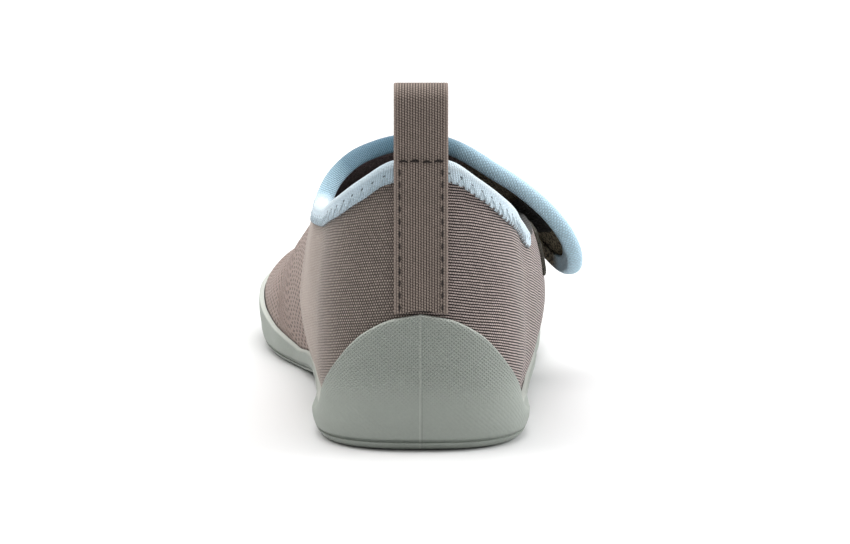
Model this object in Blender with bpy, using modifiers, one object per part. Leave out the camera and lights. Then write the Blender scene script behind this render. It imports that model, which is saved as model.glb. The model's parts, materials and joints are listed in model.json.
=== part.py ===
"""A child's low water shoe for the right foot, built over its last.

Lengths are millimetres until a mesh is made. In the last's own frame the back seam is at
x = 0, y = 0, the toe points along +Y, the outer side of the foot is +X and the floor is z = 0.
Girth k runs over the foot: -1 at the inner feather edge, 0 on the ridge, +1 at the outer one.
"""
import math
from collections import namedtuple

import bmesh
import bpy
import numpy as np
from mathutils import Vector

for item in list(bpy.data.objects):
    bpy.data.objects.remove(item, do_unlink=True)

MM = 0.001
MERGE = 0.004

# Last
LAST_LENGTH = 185.0
HEEL_ROUND = 24.0
HEEL_SQUARE = 2.8
TOE_ROUND = 46.0
TOE_SQUARE = 2.4
CROWN_ROUND = 34.0
BELLY_SHARE = 0.3
HEEL_LEAN = 4.5
LEAN_FROM = 24.0
LEAN_TO = 73.0
LEAN_FADE = 42.0

# Cloth parts
WALL = 2.4
GAP = 0.3
THROAT_FRONT = 110.0
THROAT_TURN = 12.0
STRAP_WALL = 1.7
TAPE = 0.5
TAPE_GAP = 0.5
TAPE_WIDTH = 4.6
TAPE_END_WIDTH = 3.2
TAPE_TAPER = 26.0
PATCH = 1.0

# Sole
RUBBER = 2.4
HEEL_RUBBER = 3.3
WAIST_RUBBER = 1.5
RUBBER_EDGE = 1.3
WIDEST_HEIGHT = 7.2
WAIST_HEIGHT = 5.6
WAIST = (22, 44, 98, 120)
EDGE_INSET = 3.4
ARCH_RISE = 2.0
ARCH_AT = 80.0
ARCH_SPAN = 20.0
SPRING_FROM = 146.0
TOE_SPRING = 8.0
INSOLE = 3.0
SIDE_STEP = 0.55
GROOVE_WIDTH = 2.2
GROOVE_DEPTH = 1.6

# Pull loop
RIBBON_WIDTH = 13.5
RIBBON = 1.2
LOOP_TOP = 91.8
LOOP_SLACK = 1.4

Section = namedtuple("Section", "y centre half ridge crown belly floor tuck square")
SECTIONS = (
    Section(0, 0.0, 25.3, 0.0, 90.0, 24.0, 5.3, 0.10, 2.3),
    Section(24, 0.0, 26.6, 0.0, 85.0, 24.0, 5.3, 0.10, 2.3),
    Section(45, 0.2, 30.0, -1.0, 79.0, 28.0, 5.3, 0.15, 2.2),
    Section(60, 0.4, 31.8, -2.2, 73.0, 28.0, 5.3, 0.17, 2.0),
    Section(75, 0.5, 32.5, -3.0, 66.8, 26.0, 5.3, 0.16, 2.0),
    Section(95, -1.6, 34.0, -5.0, 57.0, 20.0, 5.3, 0.11, 1.95),
    Section(114, -4.2, 36.8, -6.5, 46.3, 16.0, 5.3, 0.07, 1.85),
    Section(130, -6.0, 37.6, -7.5, 38.6, 14.0, 5.3, 0.06, 1.78),
    Section(148, -7.6, 36.6, -8.5, 32.7, 14.5, 5.4, 0.06, 1.85),
    Section(168, -8.6, 34.0, -9.0, 29.6, 18.0, 8.2, 0.08, 2.0),
    Section(185, -9.0, 31.0, -9.0, 29.5, 22.5, 12.6, 0.08, 2.2),
)

# Height of the open edge of the upper, by the run along the outline from the back seam
Collar = namedtuple("Collar", "run inner outer")
COLLAR = (
    Collar(0, 73.2, 73.2),
    Collar(11, 71.2, 71.2),
    Collar(19, 67.0, 66.6),
    Collar(29, 61.4, 60.7),
    Collar(44, 56.9, 54.4),
    Collar(53, 55.6, 50.5),
    Collar(61, 54.9, 47.2),
    Collar(70, 54.3, 46.0),
    Collar(80, 53.6, 46.0),
    Collar(95, 52.0, 46.8),
    Collar(110, 49.5, 45.0),
    Collar(118, 47.0, 42.0),
    Collar(130, 44.0, 39.0),
)

# Top edge of the rubber
Rim = namedtuple("Rim", "run top")
RIM = (
    Rim(0, 34.6),
    Rim(7, 33.3),
    Rim(14, 29.8),
    Rim(24, 19.4),
    Rim(34, 9.6),
    Rim(42, 7.0),
    Rim(50, 6.4),
    Rim(108, 6.4),
    Rim(128, 8.8),
    Rim(150, 12.4),
    Rim(175, 16.0),
    Rim(200, 18.8),
    Rim(230, 20.5),
)

# Strap from its root seam (run 0) to its tip (run 1); the tilt is the share of the lift that
# its front edge does without
StrapRow = namedtuple("StrapRow", "run rear front lift tilt")
STRAP = (
    StrapRow(0.00, 48.0, 93.5, 0.0, 0.0),
    StrapRow(0.05, 51.0, 95.0, 0.0, 0.0),
    StrapRow(0.12, 55.8, 97.5, -0.35, 0.0),
    StrapRow(0.25, 65.5, 102.0, -0.9, 0.0),
    StrapRow(0.40, 72.0, 105.0, 0.3, 0.0),
    StrapRow(0.52, 74.0, 104.5, 1.7, 0.0),
    StrapRow(0.64, 75.5, 102.5, 2.3, 0.0),
    StrapRow(0.74, 77.0, 101.0, 4.7, 0.2),
    StrapRow(0.84, 77.5, 100.5, 7.9, 0.38),
    StrapRow(0.92, 78.0, 100.0, 10.5, 0.5),
    StrapRow(1.00, 78.0, 100.0, 12.6, 0.6),
)
STRAP_TIP_HEIGHT = 28.0
STRAP_TIP_FROM = 0.86
STRAP_SEAM = 0.008
NOTCH = 46.5
TAPE_END = 39.0

# Tread grooves: place along the sole, half-length, and how far the middle bows forward
Groove = namedtuple("Groove", "y reach bow")
GROOVES = (
    Groove(18, 12.0, -3.0),
    Groove(29, 15.0, -3.0),
    Groove(40, 16.0, -3.0),
    Groove(51, 16.0, -3.0),
    Groove(104, 19.0, 4.0),
    Groove(114, 22.0, 4.0),
    Groove(124, 24.0, 4.0),
    Groove(134, 25.0, 4.0),
    Groove(144, 25.0, 4.0),
)


def smooth_curve(keys, values):
    """Return a smooth curve through the rows of a table that never overshoots them."""
    x = np.array(keys, float)
    v = np.array(values, float)
    step = np.diff(x)
    slope = np.diff(v) / step
    grade = np.zeros_like(v)
    grade[0] = slope[0]
    grade[-1] = slope[-1]
    for i in range(1, len(x) - 1):
        if slope[i - 1] * slope[i] > 0:
            near = 2 * step[i] + step[i - 1]
            far = step[i] + 2 * step[i - 1]
            grade[i] = (near + far) / (near / slope[i - 1] + far / slope[i])

    def at(q):
        q = np.clip(np.asarray(q, float), x[0], x[-1])
        i = np.clip(np.searchsorted(x, q) - 1, 0, len(x) - 2)
        s = (q - x[i]) / step[i]
        start = v[i] * (1 + 2 * s) * (1 - s) ** 2 + grade[i] * step[i] * s * (1 - s) ** 2
        end = v[i + 1] * s * s * (3 - 2 * s) + grade[i + 1] * step[i] * s * s * (s - 1)
        return start + end

    return at


def table_curves(rows):
    """Make one smooth curve for each column of a table, keyed by its first column."""
    names = rows[0]._fields
    keys = [row[0] for row in rows]
    return {name: smooth_curve(keys, [getattr(row, name) for row in rows]) for name in names[1:]}


LAST = table_curves(SECTIONS)
EDGE = table_curves(COLLAR)
RIM_TOP = table_curves(RIM)["top"]
BAND = table_curves(STRAP)


def quarter_round(share, power):
    return (1 - np.clip(share, 0, 1) ** power) ** (1 / power)


def half_width(y):
    heel = quarter_round(1 - y / HEEL_ROUND, HEEL_SQUARE)
    toe = quarter_round((y - LAST_LENGTH + TOE_ROUND) / TOE_ROUND, TOE_SQUARE)
    return LAST["half"](y) * heel * toe


def crown_height(y):
    belly = LAST["belly"](y)
    toe = quarter_round((y - LAST_LENGTH + CROWN_ROUND) / CROWN_ROUND, TOE_SQUARE)
    return belly + (LAST["crown"](y) - belly) * toe


def heel_lean(y, z):
    """Bring the back of the heel forward towards the collar and towards the floor."""
    fade = np.clip(1 - y / LEAN_FADE, 0, 1) ** 2
    above = np.clip((z - LEAN_FROM) / (LEAN_TO - LEAN_FROM), 0, 2) ** 2 * HEEL_LEAN
    below = np.clip((LEAN_FROM - z) / LEAN_FROM, 0, 1) ** 2 * 1.2
    return (above + below) * fade


def last_point(y, k):
    """Point of the upper's outer surface at length y and girth k."""
    y, k = np.broadcast_arrays(np.asarray(y, float), np.asarray(k, float))
    share = 1 - np.abs(k)
    low = np.clip(share / BELLY_SHARE, 0, 1)
    turn = np.clip((share - BELLY_SHARE) / (1 - BELLY_SHARE), 0, 1) * math.pi / 2
    power = 2 / LAST["square"](y)
    rise = np.sin(turn) ** power
    floor = LAST["floor"](y)
    belly = LAST["belly"](y)
    z = floor + (belly - floor) * low + (crown_height(y) - belly) * rise
    tuck = 1 - LAST["tuck"](y) * (1 - low) ** 2
    width = half_width(y) * tuck * np.maximum(np.cos(turn), 0) ** power
    centre = LAST["centre"](y)
    x = centre + (LAST["ridge"](y) - centre) * rise ** 2 + np.where(k < 0, -1, 1) * width
    return np.stack([x, y + heel_lean(y, z), z], axis=-1)


def last_normal(y, k):
    y, k = np.broadcast_arrays(np.asarray(y, float), np.asarray(k, float))
    over = last_point(y, np.clip(k + 0.004, -1, 1)) - last_point(y, np.clip(k - 0.004, -1, 1))
    on = np.clip(y + 0.2, 0, LAST_LENGTH)
    back = np.clip(y - 0.2, 0, LAST_LENGTH)
    along = last_point(on, k) - last_point(back, k)
    normal = np.cross(over, along)
    return normal / np.linalg.norm(normal, axis=-1, keepdims=True)


def girth_at_height(y, z):
    """Girth share (0 at the feather edge, 1 on the ridge) where the last reaches height z."""
    floor = LAST["floor"](y)
    belly = LAST["belly"](y)
    low = BELLY_SHARE * (z - floor) / (belly - floor)
    rise = np.clip((z - belly) / (crown_height(y) - belly + 1e-6), 0, 1)
    turn = np.arcsin(rise ** (LAST["square"](y) / 2))
    return np.where(z < belly, low, BELLY_SHARE + (1 - BELLY_SHARE) * turn * 2 / math.pi)


def outline_runs():
    """Length along the outline from the back seam, tabulated against y."""
    y = LAST_LENGTH * (1 - np.cos(np.linspace(0, math.pi, 2400))) / 2
    w = half_width(y)
    run = np.concatenate([[0], np.cumsum(np.hypot(np.diff(y), np.diff(w)))])
    return y, run


OUTLINE_Y, OUTLINE_RUN = outline_runs()


def run_at(y):
    return np.interp(y, OUTLINE_Y, OUTLINE_RUN)


def stations(count, keep=()):
    """Lengths spaced evenly along the outline, with some moved onto wanted places."""
    y = np.interp(np.linspace(0, OUTLINE_RUN[-1], count), OUTLINE_RUN, OUTLINE_Y)
    for place in keep:
        y[np.argmin(np.abs(y - place))] = place
    return y


def open_share(y, side):
    """Girth share of the upper's open edge; 1 in front of the throat."""
    height = EDGE["inner" if side < 0 else "outer"](run_at(y))
    share = girth_at_height(y, height)
    turn = np.clip((y - THROAT_FRONT + THROAT_TURN) / THROAT_TURN, 0, 1)
    return share + (1 - share) * turn ** 2.5


def columns(count, keep=()):
    """Stations right round the last: outer side to the toe, then the inner side back."""
    y = stations(count, keep)
    outer = [(1, value) for value in y]
    inner = [(-1, value) for value in y[-2:0:-1]]
    return outer + inner


def sole_height(y):
    arch = np.clip(1 - np.abs(y - ARCH_AT) / ARCH_SPAN, 0, 1)
    spring = np.clip((y - SPRING_FROM) / (LAST_LENGTH - SPRING_FROM), 0, 1)
    return ARCH_RISE * arch * arch * (3 - 2 * arch) + TOE_SPRING * spring ** 1.8


# Mesh making

def skin(grid, closed=True, ring=False):
    """Quads over a grid of points; the first way may close up, and so may the second."""
    grid = np.asarray(grid, float)
    mesh = bmesh.new()
    verts = [[mesh.verts.new(Vector(p) * MM) for p in row] for row in grid]
    rows = len(verts) if closed else len(verts) - 1
    wide = len(verts[0]) if ring else len(verts[0]) - 1
    for i in range(rows):
        a = verts[i]
        b = verts[(i + 1) % len(verts)]
        for j in range(wide):
            n = (j + 1) % len(a)
            mesh.faces.new((a[j], b[j], b[n], a[n]))
    if ring and not closed:
        mesh.faces.new(verts[0])
        mesh.faces.new(list(reversed(verts[-1])))
    bmesh.ops.remove_doubles(mesh, verts=mesh.verts, dist=MERGE * MM)
    bmesh.ops.dissolve_degenerate(mesh, edges=mesh.edges, dist=MERGE * MM)
    return mesh


def face_outwards(mesh):
    bmesh.ops.recalc_face_normals(mesh, faces=mesh.faces)
    if mesh.calc_volume(signed=True) < 0:
        bmesh.ops.reverse_faces(mesh, faces=mesh.faces)


def piece(name, mesh, material, angle=40):
    data = bpy.data.meshes.new(name)
    mesh.to_mesh(data)
    mesh.free()
    data.materials.append(material)
    data.shade_smooth()
    data.set_sharp_from_angle(angle=math.radians(angle))
    item = bpy.data.objects.new(name, data)
    PARTS.objects.link(item)
    return item


def thicken(item, thickness):
    """Give an outer skin its wall, inwards."""
    solid = item.modifiers.new("wall", "SOLIDIFY")
    solid.thickness = thickness * MM
    solid.offset = -1
    solid.use_even_offset = True
    solid.use_quality_normals = True
    return item


def principled(name, colour, roughness):
    made = bpy.data.materials.new(name)
    made.use_nodes = True
    shader = made.node_tree.nodes["Principled BSDF"]
    shader.inputs["Base Color"].default_value = (*colour, 1)
    shader.inputs["Roughness"].default_value = roughness
    return made


# Pieces

def make_upper(material):
    grid = []
    for side, y in columns(34, (THROAT_FRONT,)):
        share = np.linspace(0, 1, 13) * open_share(y, side)
        grid.append(last_point(y, side * (1 - share)))
    return thicken(piece("upper", skin(grid), material), WALL)


def plan_normal(side, y):
    normal = last_normal(y, side * (1 - BELLY_SHARE))
    normal[2] = 0
    return normal / np.linalg.norm(normal)


def wall_point(side, y, z, offset):
    k = side * (1 - girth_at_height(y, z))
    return last_point(y, k) + last_normal(y, k) * offset


def spine(y):
    """Point on the sole's middle line that the spoke of a station starts from."""
    along = np.clip(y, 15.0, LAST_LENGTH - 26.0)
    return np.array([LAST["centre"](along), along])


def outsole_spoke(side, y):
    """One section of the sole, from the middle of its tread out, over the rim and in again."""
    low = float(sole_height(y))
    out = plan_normal(side, y)
    rubber = float(np.interp(y, WAIST, (HEEL_RUBBER, WAIST_RUBBER, WAIST_RUBBER, RUBBER)))
    rise = float(np.interp(y, WAIST, (WIDEST_HEIGHT, WAIST_HEIGHT, WAIST_HEIGHT, WIDEST_HEIGHT)))
    widest = wall_point(side, y, low + rise, GAP + rubber)
    height = widest[2] - low
    centre = spine(y)
    edge = (widest - out * EDGE_INSET)[:2]
    points = []
    for share in (0.0, 0.55):
        place = centre + (edge - centre) * share
        points.append((*place, float(sole_height(place[1]))))
    bowl = ((0, 0), (26, 0), (44, 0), (47, SIDE_STEP), (51, SIDE_STEP), (54, 0), (72, 0), (90, 0))
    for degrees, cut in bowl:
        turn = math.radians(degrees)
        place = widest - out * (EDGE_INSET * (1 - math.sin(turn)) + cut)
        points.append((place[0], place[1], low + height * (1 - math.cos(turn))))
    top = float(RIM_TOP(run_at(y)))
    base = low + rise
    floor = float(LAST["floor"](y))
    top = max(top, base + 0.8)
    for share in (0.25, 0.5, 0.75, 0.93):
        thick = rubber + (RUBBER_EDGE - rubber) * share
        points.append(wall_point(side, y, base + (top - base) * share, GAP + thick))
    points.append(wall_point(side, y, top, GAP + RUBBER_EDGE * 0.7))
    points.append(wall_point(side, y, top, GAP))
    for share in (0.66, 0.33, 0.0):
        points.append(wall_point(side, y, floor + (top - floor) * share, GAP))
    corner = points[-1]
    points.append((corner[0], corner[1], floor - GAP))
    inner = np.array(corner[:2])
    for share in (0.55, 0.0):
        place = centre + (inner - centre) * share
        points.append((*place, float(LAST["floor"](place[1])) - GAP))
    return np.array(points, float)


def groove_cutter(row, index):
    """A bowed bar that cuts one closed-ended groove into the tread."""
    ring = []
    middle = float(LAST["centre"](row.y))
    for share in np.linspace(-1, 1, 7):
        x = middle + row.reach * share
        y = row.y + row.bow * (1 - share * share)
        low = -1.0
        high = GROOVE_DEPTH
        half = GROOVE_WIDTH / 2
        ring.append([(x, y - half, low), (x, y + half, low),
                     (x, y + half * 0.8, high), (x, y - half * 0.8, high)])
    mesh = skin(ring, closed=False, ring=True)
    face_outwards(mesh)
    data = bpy.data.meshes.new(f"groove_{index}")
    mesh.to_mesh(data)
    mesh.free()
    cutter = bpy.data.objects.new(f"groove_{index}", data)
    CUTTERS.objects.link(cutter)
    cutter.hide_render = True
    cutter.display_type = "WIRE"
    return cutter


def make_outsole(material):
    grid = [outsole_spoke(side, y) for side, y in columns(34)]
    item = piece("outsole", skin(grid), material, 50)
    for index, row in enumerate(GROOVES):
        groove_cutter(row, index)
    cut = item.modifiers.new("tread", "BOOLEAN")
    cut.operation = "DIFFERENCE"
    cut.solver = "EXACT"
    cut.operand_type = "COLLECTION"
    cut.collection = CUTTERS
    return item


def insole_spoke(side, y):
    out = plan_normal(side, y)
    rim = (last_point(y, side) - out * (WALL + 2 * GAP))[:2]
    centre = spine(y)
    points = []
    for share, up in ((0.0, 0), (0.6, 0), (1.0, 0), (1.0, 1), (0.6, 1), (0.0, 1)):
        place = centre + (rim - centre) * share
        points.append((*place, float(LAST["floor"](place[1])) + INSOLE * up))
    return points


def make_insole(material):
    grid = [insole_spoke(side, y) for side, y in columns(28)]
    return piece("insole", skin(grid), material)


def strap_bend(run, across):
    """Strap before its tip is rounded: run from root to tip, across from rear to front edge."""
    rear = BAND["rear"](run)
    y = rear + (BAND["front"](run) - rear) * across
    seam_rear = BAND["rear"](0.0)
    seam = seam_rear + (BAND["front"](0.0) - seam_rear) * across
    root = open_share(seam, -1) - 1 + STRAP_SEAM
    end = 1 - girth_at_height(y, STRAP_TIP_HEIGHT)
    k = root + (end - root) * run
    lift = BAND["lift"](run) * (1 - BAND["tilt"](run) * across)
    return last_point(y, k) + last_normal(y, k) * lift


def strap_frame(run, wide):
    """Point and outward normal of the strap."""
    along = strap_bend(min(run + 0.01, 1), wide) - strap_bend(max(run - 0.01, 0), wide)
    over = strap_bend(run, wide + 0.02) - strap_bend(run, wide - 0.02)
    normal = np.cross(along, over)
    return strap_bend(run, wide), normal / np.linalg.norm(normal)


def strap_point(run, across, under=0.0):
    """The same with the rounded tip, as far under the face as wanted."""
    tip = np.clip((run - STRAP_TIP_FROM) / (1 - STRAP_TIP_FROM), 0, 1)
    wide = 0.5 + (across - 0.5) * math.sqrt(max(1 - tip * tip, 0))
    point, normal = strap_frame(run, wide)
    return point - normal * under, normal


def strap_runs():
    tip = STRAP_TIP_FROM + (1 - STRAP_TIP_FROM) * np.sin(np.linspace(0, math.pi / 2, 7))
    return np.concatenate([np.linspace(0, STRAP_TIP_FROM, 19)[:-1], tip])


def make_strap(material):
    grid = [[strap_point(run, across)[0] for across in np.linspace(0, 1, 7)] for run in strap_runs()]
    return thicken(piece("strap", skin(grid, closed=False), material), STRAP_WALL)


def strap_edge(run, across):
    """Edge of the strap and the place a tape's width in from it, with normals and thickness."""
    edge = strap_point(run, across)
    half = (BAND["front"](run) - BAND["rear"](run)) / 2
    keep = 1 - TAPE_WIDTH / half
    tip = max(run - STRAP_TIP_FROM, 0) / (1 - STRAP_TIP_FROM)
    wide = 0.5 + (across - 0.5) * math.sqrt(max(1 - tip * tip, 0)) * keep
    leg_run = min(run, STRAP_TIP_FROM) + max(run - STRAP_TIP_FROM, 0) * keep
    return edge + strap_frame(leg_run, wide) + (STRAP_WALL,)


def collar_edge(y, side, seam=0.0):
    """The same for the collar; the tape reaches further down where the edge slopes."""
    share = open_share(y, side) + seam
    about = np.array([max(y - 1, 0), y + 1])
    near = last_point(about, side * (1 - open_share(about, side)))
    slope = near[1] - near[0]
    end_width = TAPE_END_WIDTH if side > 0 else TAPE_WIDTH
    width = np.interp(run_at(y), (0, TAPE_TAPER), (TAPE_WIDTH, end_width))
    drop = width / max(math.hypot(slope[0], slope[1]) / np.linalg.norm(slope), 0.6)
    k = side * (1 - share)
    edge = last_point(y, k)
    low = side * (1 - girth_at_height(y, edge[2] - drop))
    return edge, last_normal(y, k), last_point(y, low), last_normal(y, low), WALL


def bound_edge():
    """Edge that the tape covers: strap front, tip, strap rear, notch, heel collar, outer side."""
    runs = strap_runs()
    collar = stations(34)
    path = [strap_edge(run, 1.0) for run in runs[1:]]
    path += [strap_edge(run, 0.0) for run in runs[-2:0:-1]]
    path.append(collar_edge(NOTCH, -1, STRAP_SEAM))
    path += [collar_edge(y, -1) for y in collar[::-1] if y < NOTCH - 2]
    path += [collar_edge(y, 1) for y in collar if 0 < y < TAPE_END]
    return path


def make_edge_binding(material):
    """Tape folded round the edge: a channel carried along it."""
    outer = TAPE_GAP + TAPE
    cap = 0.8
    grid = []
    for edge, normal, leg, leg_normal, wall in bound_edge():
        inward = (leg - edge) / np.linalg.norm(leg - edge)
        ring = [leg + leg_normal * TAPE_GAP, leg + leg_normal * outer]
        for degrees in (90, 122, 154, 206, 238, 270):
            turn = math.radians(degrees)
            up = (wall / 2 + outer) * math.sin(turn) - wall / 2
            ring.append(edge + inward * (cap + (cap + outer) * math.cos(turn)) + normal * up)
        ring.append(leg - leg_normal * (wall + outer))
        ring.append(leg - leg_normal * (wall + TAPE_GAP))
        ring.append(edge - inward * TAPE_GAP - normal * (wall + TAPE_GAP))
        ring.append(edge - inward * TAPE_GAP + normal * TAPE_GAP)
        grid.append(ring)
    mesh = skin(grid, closed=False, ring=True)
    face_outwards(mesh)
    return piece("edge_binding", mesh, material)


def make_hook_patch(material):
    grid = [[strap_point(run, across, STRAP_WALL + GAP)[0] for across in np.linspace(0.3, 0.7, 4)]
            for run in np.linspace(0.76, 0.88, 6)]
    return thicken(piece("hook_patch", skin(grid, closed=False), material), PATCH)


def make_loop_patch(material):
    grid = []
    for y in np.linspace(54, 88, 9):
        row = []
        for z in np.linspace(33, 44.5, 5):
            row.append(wall_point(1, y, z, GAP + PATCH))
        grid.append(row)
    return thicken(piece("loop_patch", skin(grid, closed=False), material), PATCH)


def ribbon_path():
    """Middle line of the ribbon's outer face in the plane of the back seam: (y, z, hug)."""
    path = []
    clear = GAP + RIBBON
    step = TAPE_GAP + TAPE
    start = float(RIM_TOP(0)) + 1.2
    for z in np.linspace(start, 73.0, 12):
        share = np.clip((z - 63.0) / 4.0, 0, 1)
        p = wall_point(-1, 0.0, z, clear + step * share)
        path.append((p[1], p[2], 1.0))
    base = path[-1]
    inner = base[0] + WALL + 2 * (step + GAP) + RIBBON * 2
    radius = (inner - base[0]) / 2
    middle = base[0] + radius
    rise = LOOP_TOP - radius * 1.15
    path.append((base[0] - LOOP_SLACK * 0.7, base[1] + 5.0, 0.6))
    path.append((base[0] - LOOP_SLACK, rise - 4.0, 0.2))
    for degrees in np.linspace(180, 0, 9):
        turn = math.radians(degrees)
        across = middle + (radius + LOOP_SLACK) * math.cos(turn)
        path.append((across, rise + (LOOP_TOP - rise) * math.sin(turn), 0.0))
    path.append((inner + LOOP_SLACK, rise - 4.0, 0.2))
    path.append((inner + LOOP_SLACK * 0.7, base[1] + 5.0, 0.6))
    for z in (73.0, 69.0, 65.0, 61.0):
        share = np.clip((z - 63.0) / 4.0, 0, 1)
        p = wall_point(-1, 0.0, z, -WALL - clear - 0.4 - step * share)
        path.append((p[1], p[2], 1.0))
    return path


def make_pull_loop(material):
    grid = []
    path = ribbon_path()
    for number, (y, z, hug) in enumerate(path):
        row = []
        for x in np.linspace(-RIBBON_WIDTH / 2, RIBBON_WIDTH / 2, 5):
            bend = HEEL_ROUND * (1 - quarter_round(abs(x) / 23.0, HEEL_SQUARE))
            drop = 0.0
            if number == 0:
                drop = float(RIM_TOP(abs(x))) - float(RIM_TOP(0))
            row.append((x, y + bend * hug, z + drop))
        grid.append(row)
    mesh = skin(grid, closed=False)
    bmesh.ops.reverse_faces(mesh, faces=mesh.faces)
    return thicken(piece("pull_loop", mesh, material), RIBBON)


def stand_on_origin():
    """Put the middle of the underside of the whole shoe at the origin."""
    graph = bpy.context.evaluated_depsgraph_get()
    corners = [np.array(item.evaluated_get(graph).bound_box) for item in PARTS.objects]
    low = np.min([box.min(axis=0) for box in corners], axis=0)
    high = np.max([box.max(axis=0) for box in corners], axis=0)
    root = bpy.data.objects.new("water_shoe_root", None)
    for item in list(PARTS.objects) + list(CUTTERS.objects):
        item.parent = root
    PARTS.objects.link(root)
    root.location = (-(low[0] + high[0]) / 2, -(low[1] + high[1]) / 2, -low[2])


PARTS = bpy.data.collections.new("water_shoe")
CUTTERS = bpy.data.collections.new("tread_cutters")
bpy.context.scene.collection.children.link(PARTS)
bpy.context.scene.collection.children.link(CUTTERS)

rubber = principled("rubber", (0.26, 0.28, 0.26), 0.6)
foam = principled("foam", (0.13, 0.11, 0.10), 0.9)
knit = principled("knit", (0.24, 0.19, 0.17), 0.9)
tape = principled("tape", (0.55, 0.68, 0.76), 0.85)
hook = principled("hook", (0.06, 0.06, 0.05), 0.9)
webbing = principled("webbing", (0.16, 0.12, 0.11), 0.8)

make_outsole(rubber)
make_insole(foam)
make_upper(knit)
make_strap(knit)
make_edge_binding(tape)
make_hook_patch(hook)
make_loop_patch(hook)
make_pull_loop(webbing)
stand_on_origin()
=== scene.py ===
import json
import math

import bmesh
import bpy
import numpy as np
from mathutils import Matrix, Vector

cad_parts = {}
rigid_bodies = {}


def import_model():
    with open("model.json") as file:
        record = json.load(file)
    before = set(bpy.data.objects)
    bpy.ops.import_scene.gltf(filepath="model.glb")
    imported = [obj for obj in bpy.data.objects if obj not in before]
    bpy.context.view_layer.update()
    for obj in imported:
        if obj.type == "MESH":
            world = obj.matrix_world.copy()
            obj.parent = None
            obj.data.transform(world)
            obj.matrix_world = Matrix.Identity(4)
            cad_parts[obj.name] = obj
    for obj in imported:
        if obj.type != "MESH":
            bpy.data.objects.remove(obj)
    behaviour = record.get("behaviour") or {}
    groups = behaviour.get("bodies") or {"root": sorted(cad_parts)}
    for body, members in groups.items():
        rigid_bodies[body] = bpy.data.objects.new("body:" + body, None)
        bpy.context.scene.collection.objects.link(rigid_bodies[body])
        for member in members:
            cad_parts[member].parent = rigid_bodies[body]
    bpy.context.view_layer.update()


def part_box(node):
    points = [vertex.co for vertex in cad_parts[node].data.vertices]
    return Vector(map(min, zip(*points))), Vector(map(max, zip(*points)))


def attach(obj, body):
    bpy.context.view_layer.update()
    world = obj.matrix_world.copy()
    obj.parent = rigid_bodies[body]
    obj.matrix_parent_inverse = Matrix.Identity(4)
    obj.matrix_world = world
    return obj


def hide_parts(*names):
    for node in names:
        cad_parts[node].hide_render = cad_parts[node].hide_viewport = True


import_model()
print("frame loaded")

mm = 0.001
mapScale = 0.01  # texture map units per millimetre
weldReach = 0.003  # points closer than this, in millimetres, are one
heelBack = Vector(((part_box("pull_loop")[0][0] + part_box("pull_loop")[1][0]) / 2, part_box("upper")[0][1], 0))

# The last, in millimetres: back seam at x 0, y 0, toe along +y, outer side +x, floor z 0
lastForm = {
    "length": 185.0, "heelRound": 24.0, "heelSquare": 2.8, "toeRound": 46.0, "toeSquare": 2.4,
    "crownRound": 34.0, "bellyShare": 0.3, "lean": 4.5, "leanFrom": 24.0, "leanTo": 73.0, "leanFade": 42.0,
    "throatFront": 110.0, "throatTurn": 12.0, "wall": 2.4, "gap": 0.3,
    "names": ("y", "centre", "half", "ridge", "crown", "belly", "floor", "tuck", "square"),
    "sections": (
        (0, 0.0, 25.3, 0.0, 90.0, 24.0, 5.3, 0.10, 2.3),
        (24, 0.0, 26.6, 0.0, 85.0, 24.0, 5.3, 0.10, 2.3),
        (45, 0.2, 30.0, -1.0, 79.0, 28.0, 5.3, 0.15, 2.2),
        (60, 0.4, 31.8, -2.2, 73.0, 28.0, 5.3, 0.17, 2.0),
        (75, 0.5, 32.5, -3.0, 66.8, 26.0, 5.3, 0.16, 2.0),
        (95, -1.6, 34.0, -5.0, 57.0, 20.0, 5.3, 0.11, 1.95),
        (114, -4.2, 36.8, -6.5, 46.3, 16.0, 5.3, 0.07, 1.85),
        (130, -6.0, 37.6, -7.5, 38.6, 14.0, 5.3, 0.06, 1.78),
        (148, -7.6, 36.6, -8.5, 32.7, 14.5, 5.4, 0.06, 1.85),
        (168, -8.6, 34.0, -9.0, 29.6, 18.0, 8.2, 0.08, 2.0),
        (185, -9.0, 31.0, -9.0, 29.5, 22.5, 12.6, 0.08, 2.2),
    ),
    # run along the outline, height of the collar on the inner and the outer side
    "collar": ((0, 73.2, 73.2), (11, 71.2, 71.2), (19, 67.0, 66.6), (29, 61.4, 60.7), (44, 56.9, 54.4),
               (53, 55.6, 50.5), (61, 54.9, 47.2), (70, 54.3, 46.0), (80, 53.6, 46.0), (95, 52.0, 46.8),
               (110, 49.5, 45.0), (118, 47.0, 42.0), (130, 44.0, 39.0)),
    # run along the outline, height of the rubber's top edge
    "rim": ((0, 34.6), (7, 33.3), (14, 29.8), (24, 19.4), (34, 9.6), (42, 7.0), (50, 6.4), (108, 6.4),
            (128, 8.8), (150, 12.4), (175, 16.0), (200, 18.8), (230, 20.5)),
}


def smoothCurve(rows, column):
    x = np.array([row[0] for row in rows], float)
    v = np.array([row[column] for row in rows], float)
    step = np.diff(x)
    slope = np.diff(v) / step
    grade = np.zeros_like(v)
    grade[0], grade[-1] = slope[0], slope[-1]
    for i in range(1, len(x) - 1):
        if slope[i - 1] * slope[i] > 0:
            near = 2 * step[i] + step[i - 1]
            far = step[i] + 2 * step[i - 1]
            grade[i] = (near + far) / (near / slope[i - 1] + far / slope[i])

    def at(q):
        q = np.clip(np.asarray(q, float), x[0], x[-1])
        i = np.clip(np.searchsorted(x, q) - 1, 0, len(x) - 2)
        s = (q - x[i]) / step[i]
        start = v[i] * (1 + 2 * s) * (1 - s) ** 2 + grade[i] * step[i] * s * (1 - s) ** 2
        return start + v[i + 1] * s * s * (3 - 2 * s) + grade[i + 1] * step[i] * s * s * (s - 1)

    return at


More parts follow.
